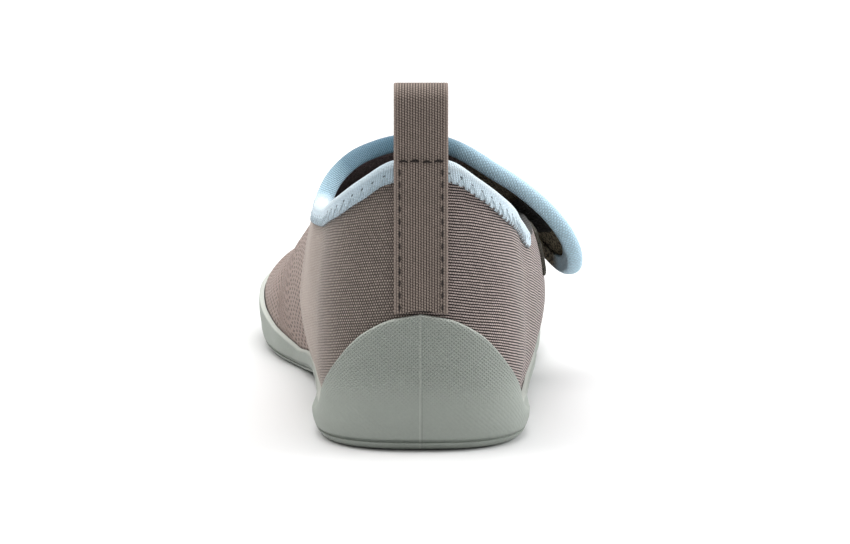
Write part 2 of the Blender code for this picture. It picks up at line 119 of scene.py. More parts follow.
last = {name: smoothCurve(lastForm["sections"], i) for i, name in enumerate(lastForm["names"]) if i}
collarTop = {-1: smoothCurve(lastForm["collar"], 1), 1: smoothCurve(lastForm["collar"], 2)}
rimTop = smoothCurve(lastForm["rim"], 1)


def ease(value, low, high):
    t = np.clip((np.asarray(value, float) - low) / (high - low), 0, 1)
    return t * t * (3 - 2 * t)


def unit(vectors):
    return vectors / np.maximum(np.linalg.norm(vectors, axis=-1, keepdims=True), 1e-9)


def quarterRound(share, power):
    return (1 - np.clip(share, 0, 1) ** power) ** (1 / power)


def halfWidth(y):
    heel = quarterRound(1 - y / lastForm["heelRound"], lastForm["heelSquare"])
    toe = quarterRound((y - lastForm["length"] + lastForm["toeRound"]) / lastForm["toeRound"],
                       lastForm["toeSquare"])
    return last["half"](y) * heel * toe


def crownHeight(y):
    belly = last["belly"](y)
    toe = quarterRound((y - lastForm["length"] + lastForm["crownRound"]) / lastForm["crownRound"],
                       lastForm["toeSquare"])
    return belly + (last["crown"](y) - belly) * toe


def heelLean(y, z):
    fade = np.clip(1 - y / lastForm["leanFade"], 0, 1) ** 2
    rise = lastForm["leanTo"] - lastForm["leanFrom"]
    above = np.clip((z - lastForm["leanFrom"]) / rise, 0, 2) ** 2 * lastForm["lean"]
    below = np.clip((lastForm["leanFrom"] - z) / lastForm["leanFrom"], 0, 1) ** 2 * 1.2
    return (above + below) * fade


def lastPoint(y, k):  # girth k: -1 inner feather edge, 0 ridge, 1 outer feather edge
    y, k = np.broadcast_arrays(np.asarray(y, float), np.asarray(k, float))
    belly = lastForm["bellyShare"]
    share = 1 - np.abs(k)
    low = np.clip(share / belly, 0, 1)
    turn = np.clip((share - belly) / (1 - belly), 0, 1) * math.pi / 2
    power = 2 / last["square"](y)
    rise = np.sin(turn) ** power
    floor, waist = last["floor"](y), last["belly"](y)
    z = floor + (waist - floor) * low + (crownHeight(y) - waist) * rise
    tuck = 1 - last["tuck"](y) * (1 - low) ** 2
    width = halfWidth(y) * tuck * np.maximum(np.cos(turn), 0) ** power
    centre = last["centre"](y)
    x = centre + (last["ridge"](y) - centre) * rise ** 2 + np.where(k < 0, -1, 1) * width
    return np.stack([x, y + heelLean(y, z), z], axis=-1)


def lastNormal(y, k):
    y, k = np.broadcast_arrays(np.asarray(y, float), np.asarray(k, float))
    over = lastPoint(y, np.clip(k + 0.004, -1, 1)) - lastPoint(y, np.clip(k - 0.004, -1, 1))
    ahead = lastPoint(np.clip(y + 0.2, 0, lastForm["length"]), k)
    along = ahead - lastPoint(np.clip(y - 0.2, 0, lastForm["length"]), k)
    return unit(np.cross(over, along))


def girthAtHeight(y, z):
    belly = lastForm["bellyShare"]
    floor, waist = last["floor"](y), last["belly"](y)
    low = belly * (z - floor) / (waist - floor)
    rise = np.clip((z - waist) / (crownHeight(y) - waist + 1e-6), 0, 1)
    turn = np.arcsin(rise ** (last["square"](y) / 2))
    return np.where(z < waist, low, belly + (1 - belly) * turn * 2 / math.pi)


outlineY = lastForm["length"] * (1 - np.cos(np.linspace(0, math.pi, 2400))) / 2
outlineRun = np.concatenate([[0], np.cumsum(np.hypot(np.diff(outlineY), np.diff(halfWidth(outlineY))))])


def runAt(y):
    return np.interp(y, outlineY, outlineRun)


def lengthAt(run):
    return np.interp(run, outlineRun, outlineY)


def openShare(y, side):  # girth share of the upper's open edge
    share = girthAtHeight(y, collarTop[side](runAt(y)))
    turn = np.clip((y - lastForm["throatFront"] + lastForm["throatTurn"]) / lastForm["throatTurn"], 0, 1)
    return share + (1 - share) * turn ** 2.5


def wallPoint(side, y, z, offset):
    k = side * (1 - girthAtHeight(y, z))
    return lastPoint(y, k) + lastNormal(y, k) * np.asarray(offset, float)[..., None]


def planNormal(side, y):
    normal = lastNormal(y, side * (1 - lastForm["bellyShare"]))
    normal[..., 2] = 0
    return unit(normal)


def toFrame(points):
    return np.asarray(points, float) * mm + np.array(heelBack)


def pathLength(points):  # length so far along each row of points
    steps = np.linalg.norm(np.diff(points, axis=-2), axis=-1)
    return np.concatenate([0 * steps[..., :1], np.cumsum(steps, axis=-1)], axis=-1)


def interpColumns(at, known, rows):  # rows of values read at other places
    return np.column_stack([np.interp(at, known, column) for column in rows.T])


def gridPlace(along, across):  # texture map from a length for each column and places across it
    return np.stack(np.broadcast_arrays(np.asarray(along)[:, None], np.asarray(across)), axis=-1)


def halfSheet(side, points, maps, values=None):  # the inner half runs back from the toe, to face outwards
    way = slice(None, None, side)
    return {"points": points[way], "maps": {key: place[way] for key, place in maps.items()},
            "values": {key: value[way] for key, value in (values or {}).items()}}


def sealMesh(data, weld=0.0, caps=False, outward=True):
    mesh = bmesh.new()
    mesh.from_mesh(data)
    if weld:
        bmesh.ops.remove_doubles(mesh, verts=mesh.verts, dist=weld * mm)
        bmesh.ops.dissolve_degenerate(mesh, edges=mesh.edges, dist=weld * mm)
    if caps:
        bmesh.ops.holes_fill(mesh, edges=[edge for edge in mesh.edges if edge.is_boundary], sides=0)
    if outward:
        bmesh.ops.recalc_face_normals(mesh, faces=mesh.faces)
    mesh.to_mesh(data)
    mesh.free()
    data.shade_smooth()
    return data


# Meshes from grids of points, with texture maps in millimetres and point values
def gridMesh(name, sheets, caps=False, outward=False):
    verts, faces, maps, values = [], [], {}, {}
    start = 0
    for sheet in sheets:
        points = np.asarray(sheet["points"], float)
        wide, tall = points.shape[:2]
        index = start + np.arange(wide * tall).reshape(wide, tall)
        quads = np.stack([index[:-1, :-1], index[1:, :-1], index[1:, 1:], index[:-1, 1:]], axis=-1)
        faces.append(quads.reshape(-1, 4))
        verts.append(points.reshape(-1, 3))
        for key, place in sheet.get("maps", {}).items():
            maps.setdefault(key, []).append(np.asarray(place, float).reshape(-1, 2))
        for key, value in sheet.get("values", {}).items():
            value = np.broadcast_to(np.asarray(value, float), (wide, tall))
            values.setdefault(key, []).append(value.reshape(-1))
        start += wide * tall
    verts = np.concatenate(verts)
    faces = np.concatenate(faces)
    data = bpy.data.meshes.new(name)
    data.from_pydata(toFrame(verts).tolist(), [], faces.tolist())
    for key, parts in maps.items():
        layer = data.uv_layers.new(name=key)
        layer.uv.foreach_set("vector", (np.concatenate(parts)[faces.ravel()] * mapScale).ravel())
    for key, parts in values.items():
        layer = data.attributes.new(key, "FLOAT", "POINT")
        layer.data.foreach_set("value", np.concatenate(parts))
    return sealMesh(data, weldReach, caps, outward)


def closeSeams(sheets):  # the outer and inner halves share their back and toe columns
    outer, inner = sheets[0]["points"], sheets[1]["points"][::-1]
    for column in (0, -1):
        outer[column] = inner[column] = (outer[column] + inner[column]) / 2


def addPiece(name, data, materials, stands=None):
    for material in materials:
        data.materials.append(material)
    made = bpy.data.objects.new(name, data)
    bpy.context.scene.collection.objects.link(made)
    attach(made, "root")
    if stands:
        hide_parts(stands)
    return made


def thicken(made, thickness, inner=0, rim=0):
    wall = made.modifiers.new("wall", "SOLIDIFY")
    wall.thickness = thickness * mm
    wall.offset = -1
    wall.use_even_offset = True
    wall.use_quality_normals = True
    wall.material_offset = inner
    wall.material_offset_rim = rim
    return made


def threadMesh(name, lines, radius, sides=6):  # lines: many paths of the same point count
    lines = np.asarray(lines, float)
    many, count = lines.shape[:2]
    along = unit(np.gradient(lines, axis=1))
    mean = unit(lines[:, -1] - lines[:, 0] + 1e-6)
    helper = np.where(np.abs(mean[:, 2:3]) > 0.7, [[1.0, 0, 0]], [[0, 0, 1.0]])
    across = unit(np.cross(along, helper[:, None, :]))
    up = np.cross(across, along)
    turn = np.linspace(0, 2 * math.pi, sides + 1)[:-1]
    thick = np.broadcast_to(np.asarray(radius, float), (count,))
    ring = across[:, :, None] * np.cos(turn)[:, None] + up[:, :, None] * np.sin(turn)[:, None]
    points = lines[:, :, None] + ring * thick[None, :, None, None]
    index = np.arange(many * count * sides).reshape(many, count, sides)
    nextSide = np.roll(index, -1, axis=2)
    quads = np.stack([index[:, :-1], nextSide[:, :-1], nextSide[:, 1:], index[:, 1:]], axis=-1)
    faces = quads.reshape(-1, 4).tolist()
    faces += index[:, 0, ::-1].tolist() + index[:, -1].tolist()
    data = bpy.data.meshes.new(name)
    data.from_pydata(toFrame(points.reshape(-1, 3)).tolist(), [], faces)
    layer = data.uv_layers.new(name="threadMap")
    place = np.stack(np.broadcast_arrays(pathLength(lines)[:, :, None], turn / math.pi), axis=-1)
    loops = np.empty(len(data.loops), np.int32)
    data.loops.foreach_get("vertex_index", loops)
    layer.uv.foreach_set("vector", (place.reshape(-1, 2)[loops] * mapScale).ravel())
    return sealMesh(data)


# Shader helpers
def paint(red, green, blue):  # screen colour 0 to 255 to linear
    parts = []
    for value in (red, green, blue):
        c = value / 255
        parts.append(c / 12.92 if c <= 0.04045 else ((c + 0.055) / 1.055) ** 2.4)
    return (*parts, 1.0)


def plug(tree, value, socket):
    if isinstance(value, bpy.types.NodeSocket):
        tree.links.new(value, socket)
    else:
        socket.default_value = value


def calc(tree, operation, *values):
    node = tree.nodes.new("ShaderNodeMath")
    node.operation = operation
    for i, value in enumerate(values):
        plug(tree, value, node.inputs[i])
    return node.outputs[0]


def times(tree, first, *others):  # product of all that is given
    for other in others:
        first = calc(tree, "MULTIPLY", first, other)
    return first


def ramp(tree, value, low, high, toLow=0.0, toHigh=1.0):
    node = tree.nodes.new("ShaderNodeMapRange")
    node.interpolation_type = "SMOOTHSTEP"
    for i, given in enumerate((value, low, high, toLow, toHigh)):
        plug(tree, given, node.inputs[i])
    return node.outputs[0]


def mixColour(tree, share, first, second, mode="MIX"):
    node = tree.nodes.new("ShaderNodeMix")
    node.data_type = "RGBA"
    node.blend_type = mode
    plug(tree, share, node.inputs[0])
    plug(tree, first, node.inputs[6])
    plug(tree, second, node.inputs[7])
    return node.outputs[2]


def mixValue(tree, share, first, second):
    node = tree.nodes.new("ShaderNodeMix")
    plug(tree, share, node.inputs[0])
    plug(tree, first, node.inputs[2])
    plug(tree, second, node.inputs[3])
    return node.outputs[0]


def cloud(tree, place, scale, detail=2.0):
    node = tree.nodes.new("ShaderNodeTexNoise")
    plug(tree, place, node.inputs["Vector"])
    plug(tree, scale, node.inputs["Scale"])
    node.inputs["Detail"].default_value = detail
    return node.outputs["Fac"]


def split(tree, vector):
    node = tree.nodes.new("ShaderNodeSeparateXYZ")
    tree.links.new(vector, node.inputs[0])
    return node.outputs


def join(tree, x, y, z=0.0):
    node = tree.nodes.new("ShaderNodeCombineXYZ")
    for i, value in enumerate((x, y, z)):
        plug(tree, value, node.inputs[i])
    return node.outputs[0]


def mapPlace(tree, name):  # a texture map read back in millimetres
    node = tree.nodes.new("ShaderNodeUVMap")
    node.uv_map = name
    grow = tree.nodes.new("ShaderNodeVectorMath")
    grow.operation = "SCALE"
    tree.links.new(node.outputs[0], grow.inputs[0])
    grow.inputs["Scale"].default_value = 1 / mapScale
    return grow.outputs[0]


def solidPlace(tree):
    return tree.nodes.new("ShaderNodeTexCoord").outputs["Object"]


def pointValue(tree, name):
    node = tree.nodes.new("ShaderNodeAttribute")
    node.attribute_name = name
    return node.outputs["Fac"]


def bump(tree, height, distance, strength):
    node = tree.nodes.new("ShaderNodeBump")
    node.inputs["Strength"].default_value = strength
    node.inputs["Distance"].default_value = distance * mm
    tree.links.new(height, node.inputs["Height"])
    return node.outputs["Normal"]


def startMaterial(name, fixed):
    made = bpy.data.materials.new(name)
    made.use_nodes = True
    shader = made.node_tree.nodes["Principled BSDF"]
    for socket, value in fixed.items():
        shader.inputs[socket].default_value = value
    return made, made.node_tree, shader


def startGroup(name, takes, gives):
    tree = bpy.data.node_groups.new(name, "ShaderNodeTree")
    for label, kind, value in takes:
        socket = tree.interface.new_socket(label, in_out="INPUT", socket_type=kind)
        if value is not None:
            socket.default_value = value
    for label, kind in gives:
        tree.interface.new_socket(label, in_out="OUTPUT", socket_type=kind)
    return tree, tree.nodes.new("NodeGroupInput").outputs, tree.nodes.new("NodeGroupOutput").inputs


def useGroup(tree, group, **values):
    node = tree.nodes.new("ShaderNodeGroup")
    node.node_tree = group
    for label, value in values.items():
        plug(tree, value, node.inputs[label])
    return node.outputs


number, vector, colour = "NodeSocketFloat", "NodeSocketVector", "NodeSocketColor"


def makeRibWeave():  # rows of knitted or woven ribs, each broken into stitches
    tree, take, give = startGroup(
        "ribWeave",
        (("Place", vector, None), ("RowPitch", number, 0.8), ("StitchPitch", number, 0.7),
         ("StitchDepth", number, 0.4), ("Wander", number, 0.2), ("GapFrom", number, 0.62),
         ("GapTo", number, 0.08), ("Stagger", number, 0.5)),
        (("Height", number), ("Gap", number), ("Tone", number)))
    x, y, _ = split(tree, take["Place"])
    sway = calc(tree, "SUBTRACT", cloud(tree, take["Place"], 0.11), 0.5)
    y = calc(tree, "MULTIPLY_ADD", sway, take["Wander"], y)
    row = calc(tree, "DIVIDE", y, take["RowPitch"])
    rowIndex = calc(tree, "FLOOR", row)
    ridge = calc(tree, "SINE", times(tree, calc(tree, "FRACT", row), math.pi))
    stitch = calc(tree, "DIVIDE", x, take["StitchPitch"])
    stitch = calc(tree, "MULTIPLY_ADD", rowIndex, take["Stagger"], stitch)
    wave = calc(tree, "COSINE", times(tree, stitch, 2 * math.pi))
    dip = times(tree, calc(tree, "MULTIPLY_ADD", wave, -0.5, 0.5), take["StitchDepth"])
    height = times(tree, ridge, calc(tree, "SUBTRACT", 1.0, dip))
    tree.links.new(height, give["Height"])
    tree.links.new(ramp(tree, height, take["GapFrom"], take["GapTo"]), give["Gap"])
    white = tree.nodes.new("ShaderNodeTexWhiteNoise")
    white.noise_dimensions = "2D"
    tree.links.new(join(tree, calc(tree, "FLOOR", stitch), rowIndex), white.inputs["Vector"])
    tree.links.new(white.outputs["Value"], give["Tone"])
    return tree


def makePinHoles():  # staggered rows of small holes
    tree, take, give = startGroup(
        "pinHoles",
        (("Place", vector, None), ("PitchAlong", number, 1.2), ("PitchAcross", number, 1.0),
         ("Radius", number, 0.3), ("Wander", number, 0.1)),
        (("Hole", number),))
    x, y, _ = split(tree, take["Place"])
    sway = calc(tree, "SUBTRACT", cloud(tree, take["Place"], 0.9), 0.5)
    y = calc(tree, "MULTIPLY_ADD", sway, take["Wander"], y)
    row = calc(tree, "DIVIDE", y, take["PitchAcross"])
    rowIndex = calc(tree, "FLOOR", row)
    cell = calc(tree, "MULTIPLY_ADD", rowIndex, 0.5, calc(tree, "DIVIDE", x, take["PitchAlong"]))
    dx = times(tree, calc(tree, "SUBTRACT", calc(tree, "FRACT", cell), 0.5), take["PitchAlong"])
    dy = times(tree, calc(tree, "SUBTRACT", calc(tree, "FRACT", row), 0.5), take["PitchAcross"])
    square = calc(tree, "MULTIPLY_ADD", dx, dx, times(tree, dy, dy))
    near = calc(tree, "DIVIDE", calc(tree, "SQRT", square), take["Radius"])
    tree.links.new(ramp(tree, near, 1.15, 0.6), give["Hole"])
    return tree


def makeUneven():  # cloudy fading and fine flecks that every finish shows
    tree, take, give = startGroup(
        "unevenTone",
        (("Place", vector, None), ("Colour", colour, (0.5, 0.5, 0.5, 1)), ("Cloud", number, 0.12),
         ("Fleck", number, 0.08), ("CloudScale", number, 40.0), ("FleckScale", number, 1500.0)),
        (("Colour", colour),))
    big = cloud(tree, take["Place"], take["CloudScale"], 3.0)
    small = cloud(tree, take["Place"], take["FleckScale"], 1.0)
    shift = times(tree, calc(tree, "SUBTRACT", big, 0.5), take["Cloud"])
    shift = calc(tree, "MULTIPLY_ADD", calc(tree, "SUBTRACT", small, 0.5), take["Fleck"], shift)
    level = calc(tree, "MULTIPLY_ADD", shift, 2.0, 1.0)
    grey = tree.nodes.new("ShaderNodeCombineColor")
    for i in range(3):
        tree.links.new(level, grey.inputs[i])
    tree.links.new(mixColour(tree, 1.0, take["Colour"], grey.outputs[0], "MULTIPLY"), give["Colour"])
    return tree


def dress(tree, shader, tone, clouds, flecks, height, depth, strength):  # the steps that end most finishes
    given = {"Place": solidPlace(tree), "Colour": tone, "Cloud": clouds, "Fleck": flecks}
    tree.links.new(useGroup(tree, unevenTone, **given)["Colour"], shader.inputs["Base Color"])
    tree.links.new(bump(tree, height, depth, strength), shader.inputs["Normal"])


ribWeave, pinHoles, unevenTone = makeRibWeave(), makePinHoles(), makeUneven()
print("shader groups made")

# Camera and light
shot = {"from": (0.0, -974.4, 225.0), "to": (1.0, 10.0, 43.4), "lens": 169.4, "sensor": 36.0,
        "air": 0.33, "floorTone": (0.72, 0.72, 0.72, 1), "floorReach": 4.0}
lightRows = (  # name, place, aim, size, power, colour
    ("softLeft", (-650, 130, 800), (0, 60, 40), 0.7, 4.8, (1.0, 0.98, 0.96)),
    ("softRight", (850, 200, 520), (0, 60, 40), 0.7, 7.0, (0.98, 0.99, 1.0)),
    ("softAbove", (0, 60, 1200), (0, 60, 0), 1.0, 11.2, (1.0, 1.0, 1.0)),
    ("softBackground", (0, 1150, 800), (0, 1200, 0), 1.4, 9.0, (1.0, 1.0, 1.0)),
)


def aimAt(made, place, target):
    made.location = Vector(place) * mm + heelBack
    towards = (Vector(target) - Vector(place)).normalized()
    made.rotation_euler = towards.to_track_quat("-Z", "Y").to_euler()


def makeStudio():
    lens = bpy.data.cameras.new("shotCamera")
    lens.lens = shot["lens"]
    lens.sensor_width = shot["sensor"]
    lens.clip_start = 0.05
    lens.clip_end = 20.0
    cam = bpy.data.objects.new("shotCamera", lens)
    bpy.context.scene.collection.objects.link(cam)
    aimAt(cam, shot["from"], shot["to"])
    bpy.context.scene.camera = cam
    for name, place, target, size, power, tint in lightRows:
        light = bpy.data.lights.new(name, "AREA")
        light.shape = "DISK"
        light.size = size
        light.energy = power
        light.color = tint
        made = bpy.data.objects.new(name, light)
        bpy.context.scene.collection.objects.link(made)
        aimAt(made, place, target)
    world = bpy.data.worlds.new("studioAir")
    bpy.context.scene.world = world
    world.use_nodes = True
    air = world.node_tree.nodes["Background"].inputs
    air["Color"].default_value = (1.0, 1.0, 1.0, 1.0)
    air["Strength"].default_value = shot["air"]
    bpy.context.scene.view_settings.view_transform = "Standard"
    floorData = bpy.data.meshes.new("studioFloor")
    reach = shot["floorReach"]
    corners = [(x * reach, y * reach, 0) for x, y in ((-1, -1), (1, -1), (1, 1), (-1, 1))]
    floorData.from_pydata(corners, [], [(0, 1, 2, 3)])
    floor = bpy.data.objects.new("studioFloor", floorData)
    bpy.context.scene.collection.objects.link(floor)
    finish, tree, shader = startMaterial("paleFloor", {"Roughness": 0.7, "Specular IOR Level": 0.1})
    shade = useGroup(tree, unevenTone, Place=solidPlace(tree), Colour=shot["floorTone"], Cloud=0.004,
                     Fleck=0.0, CloudScale=3.0)
    tree.links.new(shade["Colour"], shader.inputs["Base Color"])
    floorData.materials.append(finish)


makeStudio()
print("studio made")

# Upper: knitted quarters, perforated vamp, dark lining
upperLook = {
    "columns": 200, "rows": 72,
    "seamInner": 60.0, "seamOuter": 101.0, "seamLean": 0.12,  # where the quarter ends and the vamp starts
    "step": 0.45, "fold": 0.25, "foldWidth": 3.0,
    "ribSlope": {-1: 0.22, 1: 0.27}, "ribFrom": 12.0, "ribPitch": 0.7, "stitchPitch": 0.66,
    "holeAlong": 1.6, "holeAcross": 1.2, "holeRadius": 0.48, "holeStretch": 0.45,
    "knit": paint(186, 171, 161), "knitOuterLit": paint(207, 189, 184), "knitGap": paint(22, 18, 17),
    "band": paint(150, 136, 127), "vamp": paint(157, 136, 126), "vampHole": paint(50, 36, 32),
    "lining": paint(150, 134, 133), "liningGap": paint(92, 80, 80),
    # liningPaintedShade: painted shade for the outer lining that lies under the strap
    "liningPaintedShade": paint(32, 31, 28), "frontFrom": 34.0, "frontTo": 46.0,
    # creases: side, y, height share up the wall, lean, length, width, depth
    "creases": (
        (-1, 14.0, 0.78, 0.5, 9.0, 3.2, -0.35),
        (1, 14.0, 0.74, -0.5, 9.0, 3.2, -0.3),
        (-1, 40.0, 0.62, 0.2, 16.0, 5.0, -0.45),
        (-1, 50.0, 0.45, 0.6, 15.0, 4.0, 0.35),
        (1, 44.0, 0.55, -0.2, 16.0, 5.0, -0.4),
        (1, 60.0, 0.5, 0.3, 14.0, 5.0, 0.3),
        (-1, 116.0, 0.6, 1.2, 17.0, 3.4, -0.55),
        (1, 114.0, 0.6, 1.2, 17.0, 3.4, -0.55),
        (-1, 124.0, 0.62, 1.2, 15.0, 3.2, -0.4),
        (1, 122.0, 0.62, 1.2, 15.0, 3.2, -0.4),
    ),
}


def seamDistance(side, y, z):  # millimetres in front of the quarter's front edge
    at = upperLook["seamInner"] if side < 0 else upperLook["seamOuter"]
    return y - at - upperLook["seamLean"] * (z - 30)


def upperRelief(side, y, share, points):
    z = points[..., 2]
    ahead = seamDistance(side, y, z)
    relief = -upperLook["step"] * ease(ahead, -0.5, 0.5)
    relief += upperLook["fold"] * np.exp(-((ahead + 2.0) / upperLook["foldWidth"] * 1.7) ** 2)
    high = share / np.maximum(openShare(y, side), 1e-6)
    for way, y0, at, lean, length, width, depth in upperLook["creases"]:
        if way != side:
            continue
        du = y - y0
        dv = (high - at) * 50.0
        turn = math.atan(lean)
        along = du * math.cos(turn) + dv * math.sin(turn)
        across = dv * math.cos(turn) - du * math.sin(turn)
        relief += depth * np.exp(-(across / width) ** 2 - (along / length) ** 2)
    relief += 0.12 * np.sin(y * 0.21 + side) * np.sin(z * 0.17 + 1.0)
    free = ease(z, rimTop(runAt(y)) + 0.5, rimTop(runAt(y)) + 6.0) * ease(1 - high, 0.0, 0.13)
    return relief * free


def makeUpperFinish():
    made, tree, shader = startMaterial("knitAndMesh", {
        "Roughness": 0.92, "Specular IOR Level": 0.25, "Sheen Weight": 0.35, "Sheen Roughness": 0.45,
        "Sheen Tint": (0.9, 0.86, 0.84, 1.0)})
    wrap = mapPlace(tree, "wrapMap")
    top = mapPlace(tree, "vampMap")
    across, _, _ = split(tree, wrap)
    outerSide = ramp(tree, across, -8.0, 8.0)
    knit = useGroup(tree, ribWeave, Place=wrap, RowPitch=upperLook["ribPitch"], Wander=0.8,
                    GapFrom=0.85, GapTo=0.4, StitchPitch=upperLook["stitchPitch"],
                    StitchDepth=mixValue(tree, outerSide, 0.6, 0.3))
    topX, topY, _ = split(tree, top)
    stretched = join(tree, times(tree, topX, upperLook["holeStretch"]), topY)
    mesh = useGroup(tree, pinHoles, Place=stretched, PitchAlong=upperLook["holeAlong"], Wander=0.5,
                    PitchAcross=upperLook["holeAcross"], Radius=upperLook["holeRadius"])
    fine = useGroup(tree, ribWeave, Place=top, RowPitch=0.5, StitchPitch=0.5, StitchDepth=0.8, Wander=0.2)
    ahead = pointValue(tree, "ahead")
    front = ramp(tree, ahead, -0.25, 0.25)
    band = times(tree, ramp(tree, ahead, -60.0, -6.0), calc(tree, "SUBTRACT", 1.0, outerSide))
    smooth = calc(tree, "SUBTRACT", 1.0, times(tree, band, 0.7))
    # painted light: the outer quarter's yarn is painted lighter and its rib gaps darker, for the light raking
    # across that side
    gap = times(tree, knit["Gap"], smooth, mixValue(tree, outerSide, 0.8, 1.0))
    yarn = mixColour(tree, outerSide, upperLook["knit"], upperLook["knitOuterLit"])
    yarn = mixColour(tree, times(tree, knit["Tone"], 0.25), yarn, upperLook["knitGap"])
    knitTone = mixColour(tree, gap, yarn, upperLook["knitGap"])
    knitTone = mixColour(tree, times(tree, band, 0.7), knitTone, upperLook["band"])
    nearSeam = ramp(tree, ahead, 45.0, 4.0, 0.7, 1.0)
    holes = times(tree, mesh["Hole"], nearSeam)
    vampTone = mixColour(tree, times(tree, fine["Gap"], 0.25), upperLook["vamp"], upperLook["vampHole"])
    vampTone = mixColour(tree, holes, vampTone, upperLook["vampHole"])
    tone = mixColour(tree, front, knitTone, vampTone)
    knitHeight = times(tree, knit["Height"], smooth)
    vampHeight = calc(tree, "SUBTRACT", times(tree, fine["Height"], 0.3), holes)
    dress(tree, shader, tone, 0.08, 0.1, mixValue(tree, front, knitHeight, vampHeight), 0.3, 0.9)
    return made


def makeLiningFinish():
    made, tree, shader = startMaterial("brushedLining", {"Roughness": 0.95, "Sheen Weight": 0.2})
    wrap = mapPlace(tree, "wrapMap")
    knit = useGroup(tree, ribWeave, Place=wrap, RowPitch=0.9, StitchPitch=0.9, StitchDepth=0.6, Wander=0.4)
    tone = mixColour(tree, knit["Gap"], upperLook["lining"], upperLook["liningGap"])
    along, _, _ = split(tree, wrap)
    # painted shade: the outer lining from frontFrom forward, in the strap's shadow, is painted near black
    shaded = ramp(tree, along, upperLook["frontFrom"], upperLook["frontTo"])
    tone = mixColour(tree, shaded, tone, upperLook["liningPaintedShade"])
    dress(tree, shader, tone, 0.12, 0.15, knit["Height"], 0.25, 0.7)
    return made


upperFinish = makeUpperFinish()
liningFinish = makeLiningFinish()


def makeUpper():
    y = lengthAt(np.linspace(0, outlineRun[-1], upperLook["columns"]))
    sheets = []
    for side in (1, -1):
        share = np.linspace(0, 1, upperLook["rows"])[None, :] * openShare(y, side)[:, None]
        yy = np.broadcast_to(y[:, None], share.shape)
        k = side * (1 - share)
        points = lastPoint(yy, k)
        up = pathLength(points)
        run = runAt(yy)
        drop = np.logaddexp(0, (run - upperLook["ribFrom"]) / 6.0) * 6.0 * upperLook["ribSlope"][side]
        ahead = seamDistance(side, yy, points[..., 2])
        relief = upperRelief(side, yy, share, points)
        points = points + lastNormal(yy, k) * relief[..., None]
        maps = {"wrapMap": np.stack([side * run, up + drop], axis=-1),
                "vampMap": np.stack([yy, side * (up[:, -1:] - up)], axis=-1)}
        sheets.append(halfSheet(side, points, maps, {"ahead": ahead}))
    data = gridMesh("shoeUpper", sheets)
    made = addPiece("shoeUpper", data, (upperFinish, liningFinish), "upper")
    return thicken(made, lastForm["wall"], inner=1, rim=1)


makeUpper()
print("upper made")

# Sole: one moulding with the heel cup, the foxing and the toe guard
soleLook = {
    "rubber": 2.4, "heelRubber": 3.3, "waistRubber": 1.5, "edge": 1.3, "widest": 7.2,
    "waistWidest": 5.6, "waist": (22, 44, 98, 120), "inset": 3.4, "step": 0.55,
    "heelBevel": 0.25, "bevelTo": 15.0, "archRise": 2.0, "archAt": 80.0, "archSpan": 20.0,
    "springFrom": 146.0, "toeSpring": 8.0, "hatch": (1.02, 0.94), "hatchShade": 0.6,
    "wallRows": 40, "columnStep": 1.15, "partingHeight": 0.2,
    "grooveWidth": 2.2, "grooveDepth": 1.6,
    "grooves": ((18, 12.0, -3.0), (29, 15.0, -3.0), (40, 16.0, -3.0), (51, 16.0, -3.0), (104, 19.0, 4.0),
                (114, 22.0, 4.0), (124, 24.0, 4.0), (134, 25.0, 4.0), (144, 25.0, 4.0)),
    # dark also serves as painted shade in the groove and beside the parting line, light as painted highlight on
    # the parting line and the lip
    "colour": paint(152, 158, 151), "dark": paint(102, 108, 102), "light": paint(194, 198, 191),
}


def soleHeight(y):
    bevel = soleLook["heelBevel"] * (1 - ease(y, -2.0, soleLook["bevelTo"]))
    arch = np.clip(1 - np.abs(y - soleLook["archAt"]) / soleLook["archSpan"], 0, 1)
    spring = np.clip((y - soleLook["springFrom"]) / (lastForm["length"] - soleLook["springFrom"]), 0, 1)
    arch = arch * arch * (3 - 2 * arch)
    return bevel + soleLook["archRise"] * arch + soleLook["toeSpring"] * spring ** 1.8


def spine(y):
    along = np.clip(y, 15.0, lastForm["length"] - 26.0)
    return np.stack([last["centre"](along), along], axis=-1)


